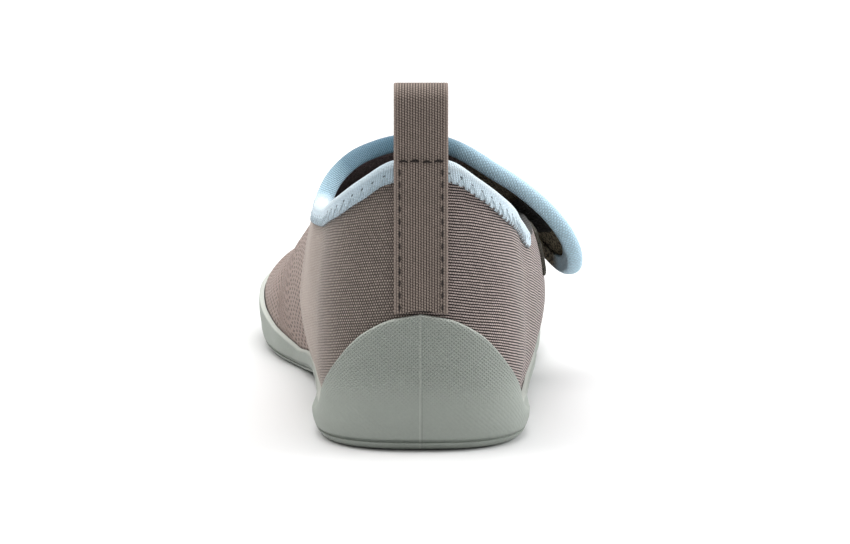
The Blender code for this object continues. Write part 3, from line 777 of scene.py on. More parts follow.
def soleSpokes(side, y):  # rows from the middle of the tread, out, up the wall, over the rim and in again
    gap = lastForm["gap"]
    low = soleHeight(y)
    out = planNormal(side, y)
    thin, lower = soleLook["waistRubber"], soleLook["waistWidest"]
    rubber = np.interp(y, soleLook["waist"], (soleLook["heelRubber"], thin, thin, soleLook["rubber"]))
    base = low + np.interp(y, soleLook["waist"], (soleLook["widest"], lower, lower, soleLook["widest"]))
    widest = wallPoint(side, y, base, gap + rubber)
    tall = widest[:, 2] - low
    centre = spine(y)
    edge = (widest - out * soleLook["inset"])[:, :2]
    run = runAt(y)
    rows, heights = [], []

    def flat(share, rim, level, lift):
        place = centre + (rim - centre) * share
        rows.append(np.column_stack([place, level(place[:, 1]) + lift]))
        heights.append(np.full(len(y), -40.0 * (1 - share)))

    for share in (0.0, 0.25, 0.5, 0.75, 0.92):
        flat(share, edge, soleHeight, 0.0)
    angles = np.array([0, 9, 18, 26, 34, 40, 44, 45.4, 47, 49, 51, 52.6, 54, 60, 66, 72, 78, 84, 90])
    cuts = np.interp(angles, (0, 44, 47, 51, 54, 90), (0, 0, 1, 1, 0, 0)) * soleLook["step"]
    for degrees, cut in zip(angles, cuts):
        turn = math.radians(degrees)
        place = widest - out * (soleLook["inset"] * (1 - math.sin(turn)) + cut)
        place[:, 2] = low + tall * (1 - math.cos(turn))
        rows.append(place)
        heights.append(place[:, 2] - low)
    top = np.maximum(rimTop(run), base + 0.8)
    ridge = soleLook["partingHeight"] * np.exp(-(run / 0.16) ** 2)
    for share in np.linspace(0, 0.95, soleLook["wallRows"])[1:]:
        thick = rubber + (soleLook["edge"] - rubber) * share
        rows.append(wallPoint(side, y, base + (top - base) * share, gap + thick + ridge))
        heights.append(rows[-1][:, 2] - low)
    for degrees in (25, 50, 70, 90):  # rounded lip
        turn = math.radians(degrees)
        thick = gap + soleLook["edge"] * (0.45 + 0.55 * math.cos(turn))
        rows.append(wallPoint(side, y, top - (top - base) * 0.05 * (1 - math.sin(turn)), thick))
        heights.append(rows[-1][:, 2] - low)
    floor = last["floor"](y)
    for share in (1.0, 0.85, 0.7, 0.5, 0.3, 0.15, 0.0):
        rows.append(wallPoint(side, y, floor + (top - floor) * share, gap + 0.0 * y))
        heights.append(rows[-1][:, 2] - low)
    corner = rows[-1].copy()
    rows.append(np.column_stack([corner[:, :2], floor - gap]))
    heights.append(floor - gap - low)
    for share in (0.7, 0.35, 0.0):
        flat(share, corner[:, :2], last["floor"], -gap)
    return np.stack(rows, axis=1), np.stack(heights, axis=1)


def grooveCutter(y0, reach, bow, group, index):
    middle = float(last["centre"](y0))
    half = soleLook["grooveWidth"] / 2
    ring = []
    for share in np.linspace(-1, 1, 25):
        x = middle + reach * share
        y = y0 + bow * (1 - share * share)
        pull = 0.5 + 0.5 * math.sqrt(max(1 - abs(share) ** 8, 0))
        corners = ((-half, -1.0), (half, -1.0), (half * 0.85, soleLook["grooveDepth"] * 0.8),
                   (half * 0.5, soleLook["grooveDepth"]), (-half * 0.5, soleLook["grooveDepth"]),
                   (-half * 0.85, soleLook["grooveDepth"] * 0.8), (-half, -1.0))
        ring.append([(x, y + dy * pull, z) for dy, z in corners])
    data = gridMesh("grooveCutter", [{"points": ring}], caps=True, outward=True)
    cutter = bpy.data.objects.new(f"grooveCutter{index}", data)
    group.objects.link(cutter)


def makeRubberFinish():
    made, tree, shader = startMaterial("mouldedRubber", {"Roughness": 0.62, "Specular IOR Level": 0.4})
    wrap = mapPlace(tree, "soleMap")
    x, y, _ = split(tree, wrap)
    x2, y2 = (times(tree, way, 2 * math.pi / pitch) for way, pitch in zip((x, y), soleLook["hatch"]))
    first = calc(tree, "SINE", calc(tree, "ADD", x2, y2))
    second = calc(tree, "SINE", calc(tree, "SUBTRACT", x2, y2))
    diamond = calc(tree, "MAXIMUM", first, second)
    wave = calc(tree, "SINE", times(tree, calc(tree, "ADD", x2, y2), 0.8))
    high = ramp(tree, y, 9.0, 22.0)
    grain = mixValue(tree, high, times(tree, wave, 0.1), diamond)
    crumb = cloud(tree, solidPlace(tree), 900.0, 3.0)
    grain = calc(tree, "MULTIPLY_ADD", crumb, 0.9, grain)
    # painted shade: the groove near the bottom is painted dark, more on the left half
    groove = ramp(tree, calc(tree, "ABSOLUTE", calc(tree, "SUBTRACT", y, 2.5)), 0.45, 0.15)
    lit, shadedSide = (ramp(tree, calc(tree, "ABSOLUTE", calc(tree, "ADD", x, off)), 0.26, 0.08)
                 for off in (0.14, -0.14))  # painted highlight on one side of the mould's parting line, painted shade on the other
    shade = ramp(tree, diamond, 0.2, -0.9)
    hatched = times(tree, shade, high, soleLook["hatchShade"])
    tone = mixColour(tree, hatched, soleLook["colour"], soleLook["dark"])
    grooveShadeLeft = ramp(tree, x, 20.0, -6.0, 0.15, 0.6)
    tone = mixColour(tree, times(tree, groove, grooveShadeLeft), tone, soleLook["dark"])
    # painted highlight and painted shade beside the parting ridge
    tone = mixColour(tree, times(tree, lit, 0.28), tone, soleLook["light"])
    tone = mixColour(tree, times(tree, shadedSide, 0.28), tone, soleLook["dark"])
    # painted highlight along the rubber's top lip
    lipHighlight = ramp(tree, pointValue(tree, "lip"), 0.4, 1.0)
    tone = mixColour(tree, times(tree, lipHighlight, 0.85), tone, soleLook["light"])
    dress(tree, shader, tone, 0.07, 0.05, grain, 0.16, 0.8)
    patchy = ramp(tree, cloud(tree, solidPlace(tree), 120.0, 3.0), 0.2, 0.8, 0.55, 0.72)
    tree.links.new(patchy, shader.inputs["Roughness"])
    return made


def makeSole():
    fine = [0, 0.1, 0.2, 0.34, 0.6, 1.0, 1.6, 2.4]
    runs = np.concatenate([fine, np.arange(3.4, outlineRun[-1], soleLook["columnStep"]), [outlineRun[-1]]])
    y = lengthAt(runs)
    sheets = []
    for side in (1, -1):
        points, heights = soleSpokes(side, y)
        top = np.max(points[:, 20:, 2], axis=1, keepdims=True)
        lip = ease(points[..., 2] - top, -0.9, -0.1)
        sheets.append(halfSheet(side, points, {"soleMap": gridPlace(side * runAt(y), heights)}, {"lip": lip}))
    closeSeams(sheets)
    data = gridMesh("heelCupSole", sheets, outward=True)
    cutters = bpy.data.collections.new("treadCutters")
    for index, row in enumerate(soleLook["grooves"]):
        grooveCutter(*row, cutters, index)
    made = addPiece("heelCupSole", data, (makeRubberFinish(),), "outsole")
    cut = made.modifiers.new("tread", "BOOLEAN")
    cut.operation = "DIFFERENCE"
    cut.solver = "EXACT"
    cut.operand_type = "COLLECTION"
    cut.collection = cutters
    graph = bpy.context.evaluated_depsgraph_get()
    carved = bpy.data.meshes.new_from_object(made.evaluated_get(graph))
    made.modifiers.clear()
    made.data = carved
    carved.set_sharp_from_angle(angle=math.radians(52))
    for cutter in list(cutters.objects):
        bpy.data.objects.remove(cutter, do_unlink=True)
    bpy.data.collections.remove(cutters)


makeSole()
print("sole made")

# Footbed: thin foam with a cupped edge, seen through the collar
footbedLook = {"thick": 3.0, "clear": 3.0, "colour": paint(70, 60, 60), "gap": paint(36, 30, 31)}


def makeFootbed():
    y = lengthAt(np.linspace(0, outlineRun[-1], 110))
    profile = [(share, 0.0) for share in (0.0, 0.3, 0.6, 0.85, 0.97)]
    profile += [(1.0, 0.15), (1.0, 0.5), (1.0, 0.85)]
    profile += [(share, 1.0) for share in (0.97, 0.85, 0.7, 0.5, 0.3, 0.15, 0.0)]
    sheets = []
    for side in (1, -1):
        rim = (lastPoint(y, side + 0 * y) - planNormal(side, y) * footbedLook["clear"])[:, :2]
        centre = spine(y)
        rows, places = [], []
        for share, up in profile:
            place = centre + (rim - centre) * share
            dip = -0.35 * up * (1 - ease(share, 0.5, 0.95))
            height = last["floor"](place[:, 1]) + footbedLook["thick"] * up + dip
            rows.append(np.column_stack([place, height]))
            places.append(place)
        sheets.append(halfSheet(side, np.stack(rows, axis=1), {"wrapMap": np.stack(places, axis=1)}))
    closeSeams(sheets)
    finish, tree, shader = startMaterial("footbedCloth", {"Roughness": 0.95})
    wrap = mapPlace(tree, "wrapMap")
    weave = useGroup(tree, ribWeave, Place=wrap, RowPitch=1.1, StitchPitch=1.1, StitchDepth=0.7, Wander=0.1)
    tone = mixColour(tree, weave["Gap"], footbedLook["colour"], footbedLook["gap"])
    dress(tree, shader, tone, 0.15, 0.1, weave["Height"], 0.25, 0.7)
    addPiece("footbed", gridMesh("footbed", sheets, outward=True), (finish,), "insole")


makeFootbed()
print("footbed made")

# Strap: sewn flush into the inner side, over the instep, its tip standing off the outer side
strapLook = {
    # run, rear edge, front edge, lift, share of the lift that the front edge does without
    "rows": ((0.00, 48.0, 93.5, 0.0, 0.0), (0.05, 51.0, 95.0, 0.0, 0.0), (0.12, 55.8, 97.5, -0.35, 0.0),
             (0.25, 65.5, 102.0, -0.9, 0.0), (0.40, 72.0, 105.0, 0.3, 0.0), (0.52, 74.0, 104.5, 1.7, 0.0),
             (0.64, 75.5, 102.5, 2.3, 0.0), (0.74, 77.0, 101.0, 4.7, 0.2), (0.84, 77.5, 100.5, 7.9, 0.38),
             (0.92, 78.0, 100.0, 10.5, 0.5), (1.00, 78.0, 100.0, 12.6, 0.6)),
    "wall": 1.7,
    "tipHeight": 28.0, "tipFrom": 0.86, "seam": 0.008,
    "colour": paint(160, 148, 141), "gap": paint(62, 54, 51), "pileFrom": 46.0,
    "pile": paint(148, 140, 116), "pileDark": paint(64, 58, 47),
}
bandRear, bandFront, bandLift, bandTilt = (smoothCurve(strapLook["rows"], i) for i in (1, 2, 3, 4))


def strapBend(run, across):
    run, across = np.broadcast_arrays(np.asarray(run, float), np.asarray(across, float))
    y = bandRear(run) + (bandFront(run) - bandRear(run)) * across
    seam = bandRear(0.0) + (bandFront(0.0) - bandRear(0.0)) * across
    root = openShare(seam, -1) - 1 + strapLook["seam"]
    k = root + (1 - girthAtHeight(y, strapLook["tipHeight"]) - root) * run
    lift = bandLift(run) * (1 - bandTilt(run) * across)
    return lastPoint(y, k) + lastNormal(y, k) * lift[..., None]


def strapFrame(run, wide):
    run, wide = np.broadcast_arrays(np.asarray(run, float), np.asarray(wide, float))
    along = strapBend(np.minimum(run + 0.01, 1), wide) - strapBend(np.maximum(run - 0.01, 0), wide)
    over = strapBend(run, wide + 0.02) - strapBend(run, wide - 0.02)
    return strapBend(run, wide), unit(np.cross(along, over))


def strapTip(run):
    tip = np.clip((np.asarray(run, float) - strapLook["tipFrom"]) / (1 - strapLook["tipFrom"]), 0, 1)
    return np.sqrt(np.maximum(1 - tip * tip, 0))


def strapPoint(run, across, under=0.0):
    point, normal = strapFrame(run, 0.5 + (across - 0.5) * strapTip(run))
    return point - normal * under, normal


def strapRuns(body, tip):
    end = strapLook["tipFrom"] + (1 - strapLook["tipFrom"]) * np.sin(np.linspace(0, math.pi / 2, tip))
    return np.concatenate([np.linspace(0, strapLook["tipFrom"], body)[:-1], end])


def makeStrapFinish():
    made, tree, shader = startMaterial("strapKnit", {"Roughness": 0.92, "Specular IOR Level": 0.25})
    place = mapPlace(tree, "strapMap")
    knit = useGroup(tree, ribWeave, Place=place, RowPitch=0.78, StitchPitch=0.62, StitchDepth=0.45,
                    Wander=0.3)
    tone = mixColour(tree, knit["Gap"], strapLook["colour"], strapLook["gap"])
    dress(tree, shader, tone, 0.08, 0.1, knit["Height"], 0.28, 0.9)
    return made


def makeStrapUnderside():  # lining that turns to fastening pile towards the tip
    made, tree, shader = startMaterial("strapUnderside", {"Roughness": 0.92})
    x, _, _ = split(tree, mapPlace(tree, "strapMap"))
    fuzz = cloud(tree, solidPlace(tree), 1500.0, 4.0)
    pile = mixColour(tree, ramp(tree, fuzz, 0.58, 0.4), strapLook["pile"], strapLook["pileDark"])
    lined = mixColour(tree, ramp(tree, fuzz, 0.7, 0.3), upperLook["lining"], upperLook["liningGap"])
    tone = mixColour(tree, ramp(tree, x, strapLook["pileFrom"] - 6, strapLook["pileFrom"] + 6), lined, pile)
    dress(tree, shader, tone, 0.15, 0.2, fuzz, 0.45, 0.9)
    return made


def makeStrap():
    runs = strapRuns(90, 24)
    across = np.linspace(0, 1, 34)
    points, normals = strapPoint(runs[:, None], across[None, :])
    middle = pathLength(points[:, len(across) // 2])
    wide = (across[None, :] - 0.5) * (bandFront(runs) - bandRear(runs))[:, None]
    swell = 0.35 * np.sin(runs * 26)[:, None] * np.sin(across * math.pi)[None, :] ** 2
    swell = swell * (ease(runs, 0.03, 0.15) * ease(1 - runs, 0.02, 0.12))[:, None] * 0.5
    points = points + normals * swell[..., None]
    data = gridMesh("ankleStrap", [{"points": points, "maps": {"strapMap": gridPlace(middle, wide)}}])
    made = addPiece("ankleStrap", data, (makeStrapFinish(), makeStrapUnderside()), "strap")
    thicken(made, strapLook["wall"], inner=1)


makeStrap()
print("strap made")

# Edge tape: folded over the strap's edge, the notch and the heel collar
tapeLook = {
    "thick": 0.5, "gap": 0.5, "width": 4.6, "cap": 0.8, "notch": 46.5,
    "end": 38.2, "spacing": 0.45, "pucker": 0.1, "puckerPitch": 3.1, "endRound": 7.0,
    "colour": paint(220, 238, 249), "strapColour": paint(198, 235, 254),
    "edge": paint(232, 245, 252), "hole": paint(64, 74, 80),
    "thread": paint(206, 220, 228), "threadRadius": 0.11, "zigPitch": 3.1,
    "steel": paint(80, 114, 132), "rib": paint(96, 112, 122), "edgeGapShade": paint(88, 78, 74),
    # place across the shoe, share of steel-blue painted shade on the strap and on the collar, darkest behind
    # the loop and on the left
    "paintedShade": ((-27, 0.0, 0.0), (-23.5, 0.5, 0.1), (-20, 0.9, 0.22), (-8, 1.0, 0.42), (4, 0.95, 0.12),
            (9.5, 0.78, 0.03), (12, 0.55, 0.0), (15.5, 0.32, 0.0), (20, 0.2, 0.0), (24, 0.08, 0.0),
            (28, 0.0, 0.0), (34, 0.02, 0.0), (40, 0.1, 0.0)),
    "innerLeg": 0.45, "strapLeg": 0.75, "rollSwell": 0.9, "scallop": 0.3, "sink": 0.8, "sinkFrom": 31.0,
    # run along the outer side, width of the tape there
    "outerWidths": ((0, 4.6), (12, 4.3), (18, 3.8), (27, 4.9), (45, 5.2)),
}


def strapEdge(run, across):
    edge, normal = strapPoint(run, across)
    half = (bandFront(run) - bandRear(run)) / 2
    keep = 1 - tapeLook["width"] / half
    wide = 0.5 + (across - 0.5) * strapTip(run) * keep
    past = np.maximum(run - strapLook["tipFrom"], 0)
    leg, legNormal = strapFrame(np.minimum(run, strapLook["tipFrom"]) + past * keep, wide)
    return edge, normal, leg, legNormal


def collarEdge(y, side, seam=0.0):
    k = side * (1 - openShare(y, side) - seam)
    behind, ahead = np.maximum(y - 1, 0), y + 1
    slope = (lastPoint(ahead, side * (1 - openShare(ahead, side)))
             - lastPoint(behind, side * (1 - openShare(behind, side))))
    level = np.maximum(np.hypot(slope[:, 0], slope[:, 1]) / np.linalg.norm(slope, axis=-1), 0.6)
    width = np.interp(runAt(y), *zip(*tapeLook["outerWidths"])) if side > 0 else tapeLook["width"]
    drop = width / level
    if side > 0:  # the tape's end slips off the edge
        sink = tapeLook["sink"] * ease(y, tapeLook["sinkFrom"], tapeLook["end"])
        k = side * (1 - girthAtHeight(y, lastPoint(y, k)[:, 2] - sink))
    edge = lastPoint(y, k)
    low = side * (1 - girthAtHeight(y, edge[:, 2] - drop))
    return edge, lastNormal(y, k), lastPoint(y, low), lastNormal(y, low)


def tapePath():  # strap front, tip, strap rear, notch, heel collar, outer side
    runs = strapRuns(80, 26)
    inner = lengthAt(np.arange(float(runAt(tapeLook["notch"])) - 2.2, 0, -0.8))
    outer = lengthAt(np.arange(0.0, float(runAt(tapeLook["end"])), 0.8))
    legs = [strapEdge(runs[2:], 1.0), strapEdge(runs[-2:1:-1], 0.0),
            collarEdge(np.array([tapeLook["notch"]]), -1, strapLook["seam"]),
            collarEdge(inner, -1), collarEdge(outer, 1)]
    edge, normal, leg, legNormal = (np.concatenate([part[i] for part in legs]) for i in range(4))
    onStrap = np.concatenate([np.full(len(part[0]), float(i < 2)) for i, part in enumerate(legs)])
    inward = leg - edge
    sag = np.sum(inward * normal, axis=-1)
    inward = inward - normal * sag[:, None]
    reach = np.linalg.norm(inward, axis=-1)
    inward = inward / reach[:, None]
    length = pathLength(edge)
    at = np.linspace(0, length[-1], int(length[-1] / tapeLook["spacing"]))
    tracks = np.column_stack([edge, normal, inward, legNormal, sag, reach, onStrap])
    tracks = interpColumns(at, length, tracks)
    window = np.hanning(9)[1:-1]
    window /= window.sum()
    pad = len(window) // 2
    soft = np.pad(tracks, ((pad, pad), (0, 0)), mode="reflect", reflect_type="odd")
    soft = np.column_stack([np.convolve(column, window, mode="valid") for column in soft.T])
    edge, normal, inward, legNormal = (soft[:, i:i + 3] for i in (0, 3, 6, 9))
    normal, legNormal = unit(normal), unit(legNormal)
    inward = unit(inward - normal * np.sum(inward * normal, axis=-1, keepdims=True))
    return [at, edge, normal, inward, legNormal, soft[:, 12], soft[:, 13], np.clip(soft[:, 14], 0, 1)]


def tapeLeg(track, share, lift, side=1):  # share 0 at the tape's fold, 1 at its raw edge
    at, edge, normal, inward, legNormal, sag, reach, onStrap = track
    share = np.broadcast_to(np.asarray(share, float), at.shape)
    lean = unit(normal * (1 - share)[:, None] + legNormal * share[:, None])
    base = edge + inward * (reach * share)[:, None] + normal * (sag * share ** 1.6)[:, None]
    if side < 0:
        wall = lastForm["wall"] + (strapLook["wall"] - lastForm["wall"]) * onStrap
        return base - lean * (wall + np.asarray(lift, float))[..., None]
    return base + lean * (np.asarray(lift, float) + 0 * at)[..., None]


def makeTapeFinish():
    made, tree, shader = startMaterial("edgeTapeKnit", {
        "Roughness": 0.9, "Specular IOR Level": 0.2, "Sheen Weight": 0.25, "Sheen Roughness": 0.35})
    place = mapPlace(tree, "tapeMap")
    x, y, _ = split(tree, place)
    weave = useGroup(tree, ribWeave, Place=join(tree, y, x), RowPitch=0.62, StitchPitch=0.55, StitchDepth=0.6,
                     Wander=0.5)
    pricks = useGroup(tree, pinHoles, Place=join(tree, x, calc(tree, "ADD", y, 17.5)),
                      PitchAlong=tapeLook["zigPitch"], PitchAcross=40.0, Radius=0.38, Wander=0.9)
    plain = mixColour(tree, pointValue(tree, "onStrap"), tapeLook["colour"], tapeLook["strapColour"])
    # painted shade: the tape is painted steel blue where it faces away from the light, behind the pull loop and
    # to its left
    shadedTone = mixColour(tree, pointValue(tree, "paintedShade"), plain, tapeLook["steel"])
    tone = mixColour(tree, times(tree, weave["Gap"], 0.42), shadedTone, tapeLook["rib"])
    # painted highlight: the tape's fold is painted paler where it catches the light, less under the painted
    # shade and on the strap
    crown = times(tree, ramp(tree, y, 1.4, 0.2), calc(tree, "SUBTRACT", 1.0, pointValue(tree, "paintedShade")))
    crown = times(tree, crown, mixValue(tree, pointValue(tree, "onStrap"), 0.6, 0.15))
    tone = mixColour(tree, crown, tone, tapeLook["edge"])
    tone = useGroup(tree, unevenTone, Place=solidPlace(tree), Colour=tone, Cloud=0.05, Fleck=0.14)["Colour"]
    tone = mixColour(tree, times(tree, pricks["Hole"], 0.9), tone, tapeLook["hole"])
    # painted shade: dark gaps between the zigzag's legs along the tape's lower edge, strongest on the outer
    # collar
    notch = calc(tree, "SINE", times(tree, x, 4 * math.pi / tapeLook["zigPitch"]))
    notch = calc(tree, "MULTIPLY_ADD", cloud(tree, solidPlace(tree), 500.0, 2.0), 2.4, notch)
    notch = ramp(tree, notch, 1.2, 1.9)
    edgeShade = times(tree, ramp(tree, y, tapeLook["width"] * 0.86, tapeLook["width"] * 0.97), notch)
    edgeShade = times(tree, edgeShade, ramp(tree, pointValue(tree, "ragged"), 0.0, 1.0, 0.25, 0.9))
    tone = mixColour(tree, edgeShade, tone, tapeLook["edgeGapShade"])
    fuzz = ramp(tree, cloud(tree, solidPlace(tree), 1500.0, 4.0), 0.4, 0.58)
    pile = mixColour(tree, fuzz, strapLook["pileDark"], strapLook["pile"])
    tone = mixColour(tree, pointValue(tree, "covered"), tone, pile)
    tree.links.new(tone, shader.inputs["Base Color"])
    tree.links.new(bump(tree, weave["Height"], 0.2, 0.8), shader.inputs["Normal"])
    return made


tapeFinish = makeTapeFinish()


def makeThreadFinish(name, tint, dark, pitch):
    made, tree, shader = startMaterial(name, {"Roughness": 0.7, "Specular IOR Level": 0.35})
    x, y, _ = split(tree, mapPlace(tree, "threadMap"))
    turns = calc(tree, "MULTIPLY_ADD", y, pitch, x)
    twist = calc(tree, "SINE", times(tree, turns, 2 * math.pi / pitch))
    tone = mixColour(tree, ramp(tree, twist, 0.1, -0.9), tint, dark)
    dress(tree, shader, tone, 0.1, 0.1, twist, 0.05, 0.6)
    return made


def makeTape():
    track = tapePath()
    at, edge, normal, inward, legNormal, sag, reach, onStrap = track
    left = np.clip((at[-1] - at) / tapeLook["endRound"], 0, 1)
    endRound = np.sqrt(np.maximum(1 - (1 - left) ** 2, 0.02))
    reach *= 0.25 + 0.75 * endRound
    outerCollar = (1 - onStrap) * ease(edge[:, 0], 2.0, 8.0)
    reach += tapeLook["scallop"] * np.abs(np.sin(at * 2 * math.pi / tapeLook["zigPitch"])) * outerCollar
    pucker = tapeLook["pucker"] * np.cos(at * 2 * math.pi / tapeLook["puckerPitch"])
    outer = tapeLook["gap"] + tapeLook["thick"]
    rows, across = [], []

    def leg(share, lift, side, place):
        rows.append(tapeLeg(track, share, lift, side))
        across.append(place)

    width = tapeLook["width"]
    for share, lift in ((1.0, 0.12), (1.01, 0.4), (0.995, 0.66), (0.95, 0.85)):
        leg(share, lift + pucker * 0.8, 1, width * share)
    for share in (0.85, 0.7, 0.55, 0.42, 0.3):
        leg(share, outer - 0.12 + pucker * share + 0.1 * math.sin(share * math.pi), 1, width * share)
    wall = lastForm["wall"] + (strapLook["wall"] - lastForm["wall"]) * onStrap
    swell = tapeLook["rollSwell"] * onStrap
    for degrees in np.linspace(84, 276, 17):
        turn = math.radians(degrees)
        up = (wall / 2 + outer + (swell if degrees > 180 else 0)) * math.sin(turn) - wall / 2
        deep = tapeLook["cap"] + (tapeLook["cap"] + outer) * math.cos(turn)
        rows.append(edge + inward * deep + normal * up[:, None])
        across.append((90 - degrees) / 90 * 2.2)
    under = tapeLook["innerLeg"] + (tapeLook["strapLeg"] - tapeLook["innerLeg"]) * onStrap
    for share in (0.4, 0.6, 0.8, 0.92):
        leg(share * under, outer - 0.1 + swell * (1 - share), -1, -4.4 - width * share)
    for share, lift in ((0.97, 0.9), (1.0, 0.6), (1.0, 0.25)):
        leg(share * under, lift, -1, -4.4 - width * share)
    for share in (0.6, 0.2):
        leg(share * under, 0.3, -1, -10.0)
    rows.append(edge - inward * 0.4 - normal * (wall + 0.3)[:, None])
    rows.append(edge - inward * 0.4 + normal * 0.3)
    across += [-10.5, -11.0]
    for share in (0.2, 0.6):
        leg(share, 0.25, 1, 6.0)
    rows.append(rows[0])
    across.append(width)
    tipAt = at[np.argmax(edge[:, 0] * onStrap - edge[:, 2] * onStrap)]
    covered = ease(tipAt - 3.0 - at, 0.0, 5.0)[:, None] * ease(-np.array(across), 0.6, 2.0)[None, :]
    # share of painted shade along the tape, read from its place across the shoe
    spots, strapShade, collarShade = zip(*tapeLook["paintedShade"])
    paintedShade = np.interp(edge[:, 0], spots, strapShade) * onStrap
    paintedShade += np.interp(edge[:, 0], spots, collarShade) * (1 - onStrap)
    sheet = {"points": np.stack(rows, axis=1), "maps": {"tapeMap": gridPlace(at, across)},
             "values": {"paintedShade": paintedShade[:, None], "covered": covered, "onStrap": onStrap[:, None],
                        "ragged": outerCollar[:, None]}}
    data = gridMesh("edgeTape", [sheet], caps=True, outward=True)
    addPiece("edgeTape", data, (tapeFinish,), "edge_binding")
    # zigzag thread that catches the tape's raw edge
    lines = []
    for i in range(1, int((at[-1] - 7.0) / tapeLook["zigPitch"])):
        s = (i + np.linspace(-0.5, 0.5, 9)) * tapeLook["zigPitch"]
        t = np.array([0.5, 0.66, 0.83, 0.96, 1.03, 0.96, 0.83, 0.66, 0.5])
        lift = np.array([0.7, 1.02, 1.06, 0.92, 0.1, 0.92, 1.06, 1.02, 0.7])
        local = [interpColumns(s, at, field) if field.ndim > 1 else np.interp(s, at, field)
                 for field in track]
        lines.append(tapeLeg(local, t, lift))
    data = threadMesh("tapeZigzag", lines, tapeLook["threadRadius"], 6)
    finish = makeThreadFinish("paleThread", tapeLook["thread"], paint(150, 164, 172), 0.5)
    addPiece("tapeZigzag", data, (finish,))


makeTape()
print("edge tape made")

# Hook patch under the strap's tip and pile patch on the outer side
gripLook = {
    "offset": 0.6, "thick": 0.5, "hookRuns": (0.76, 0.88), "hookAcross": (0.3, 0.7), "pileY": (61.0, 88.0),
    "pileZ": (33.0, 44.5), "pileLoops": (74, 30), "hookStems": (14, 11),
    "pile": paint(82, 79, 68), "pileDark": paint(32, 31, 27),
    "hook": paint(70, 70, 66), "hookDark": paint(30, 30, 28),
}


def makeGripFinish(name, tint, dark):
    made, tree, shader = startMaterial(name, {"Roughness": 0.85})
    fuzz = cloud(tree, solidPlace(tree), 2200.0, 3.0)
    tone = mixColour(tree, ramp(tree, fuzz, 0.56, 0.38), tint, dark)
    dress(tree, shader, tone, 0.15, 0.2, fuzz, 0.3, 0.8)
    return made


def makeGrips():
    rng = np.random.default_rng(11)
    pileFinish = makeGripFinish("pileFuzz", gripLook["pile"], gripLook["pileDark"])
    hookFinish = makeGripFinish("hookBase", gripLook["hook"], gripLook["hookDark"])
    y = np.linspace(*gripLook["pileY"], 60)
    z = np.linspace(*gripLook["pileZ"], 26)
    points = wallPoint(1, y[:, None] + 0 * z, z + 0 * y[:, None], gripLook["offset"] + 0 * y[:, None] * z)
    data = gridMesh("pilePatch", [{"points": points}])
    thicken(addPiece("pilePatch", data, (pileFinish,), "loop_patch"), gripLook["thick"])
    along, tall = gripLook["pileLoops"]
    ys = np.linspace(gripLook["pileY"][0] + 0.6, gripLook["pileY"][1] - 0.6, along)
    zs = np.linspace(gripLook["pileZ"][0] + 0.5, gripLook["pileZ"][1] - 0.5, tall)
    ys, zs = (grid.ravel() for grid in np.meshgrid(ys, zs))
    ys = ys + rng.uniform(-0.2, 0.2, ys.shape)
    zs = zs + rng.uniform(-0.2, 0.2, zs.shape)
    lean = rng.uniform(0, 2 * math.pi, ys.shape)
    wide = rng.uniform(0.25, 0.5, ys.shape)
    tallness = rng.uniform(0.15, 0.4, ys.shape)
    lines = []
    for turn in np.linspace(0, math.pi, 6):
        dy = np.cos(lean) * wide * math.cos(turn)
        dz = np.sin(lean) * wide * math.cos(turn)
        lines.append(wallPoint(1, ys + dy, zs + dz, 0.5 + tallness * math.sin(turn)))
    data = threadMesh("pileLoops", np.stack(lines, axis=1), 0.07, 4)
    finish = makeThreadFinish("pileThread", gripLook["pile"], gripLook["pileDark"], 0.4)
    addPiece("pileLoops", data, (finish,))
    runs = np.linspace(*gripLook["hookRuns"], 24)
    across = np.linspace(*gripLook["hookAcross"], 18)
    under = strapLook["wall"] + lastForm["gap"]
    points, _ = strapPoint(runs[:, None], across[None, :], under)
    data = gridMesh("hookPatch", [{"points": points}])
    thicken(addPiece("hookPatch", data, (hookFinish,), "hook_patch"), gripLook["thick"])
    many, wide = gripLook["hookStems"]
    rr = np.linspace(gripLook["hookRuns"][0] + 0.004, gripLook["hookRuns"][1] - 0.004, many)
    aa = np.linspace(gripLook["hookAcross"][0] + 0.02, gripLook["hookAcross"][1] - 0.02, wide)
    rr, aa = (grid.ravel() for grid in np.meshgrid(rr, aa))
    lines = []
    for deep, shift in ((0.45, 0.0), (0.7, 0.0), (0.9, 0.004), (1.0, 0.014), (0.92, 0.026), (0.8, 0.03)):
        lines.append(strapPoint(rr, aa + shift, under + deep)[0])
    data = threadMesh("hookStems", np.stack(lines, axis=1), 0.09, 5)
    finish = makeThreadFinish("hookThread", gripLook["hook"], gripLook["hookDark"], 0.4)
    addPiece("hookStems", data, (finish,))


makeGrips()
print("hook and pile patches made")

# Pull loop: ribbed webbing sewn up the back seam, over the collar and down inside
ribbonLook = {
    "width": 13.5, "thick": 1.2, "top": 91.8, "slack": 1.4, "ribs": 20, "ribDepth": 0.13,
    "colour": paint(154, 140, 131), "gap": paint(52, 44, 40), "edge": paint(148, 134, 126),
    "thread": paint(44, 36, 33), "threadDark": paint(22, 18, 17),
    "stitchX": 5.3, "stitchLow": 35.5, "stitchHigh": 71.5, "stitchPitch": 3.05,
    "barZ": 72.3, "barRise": 0.45, "barCount": 4, "spacing": 0.45,
}


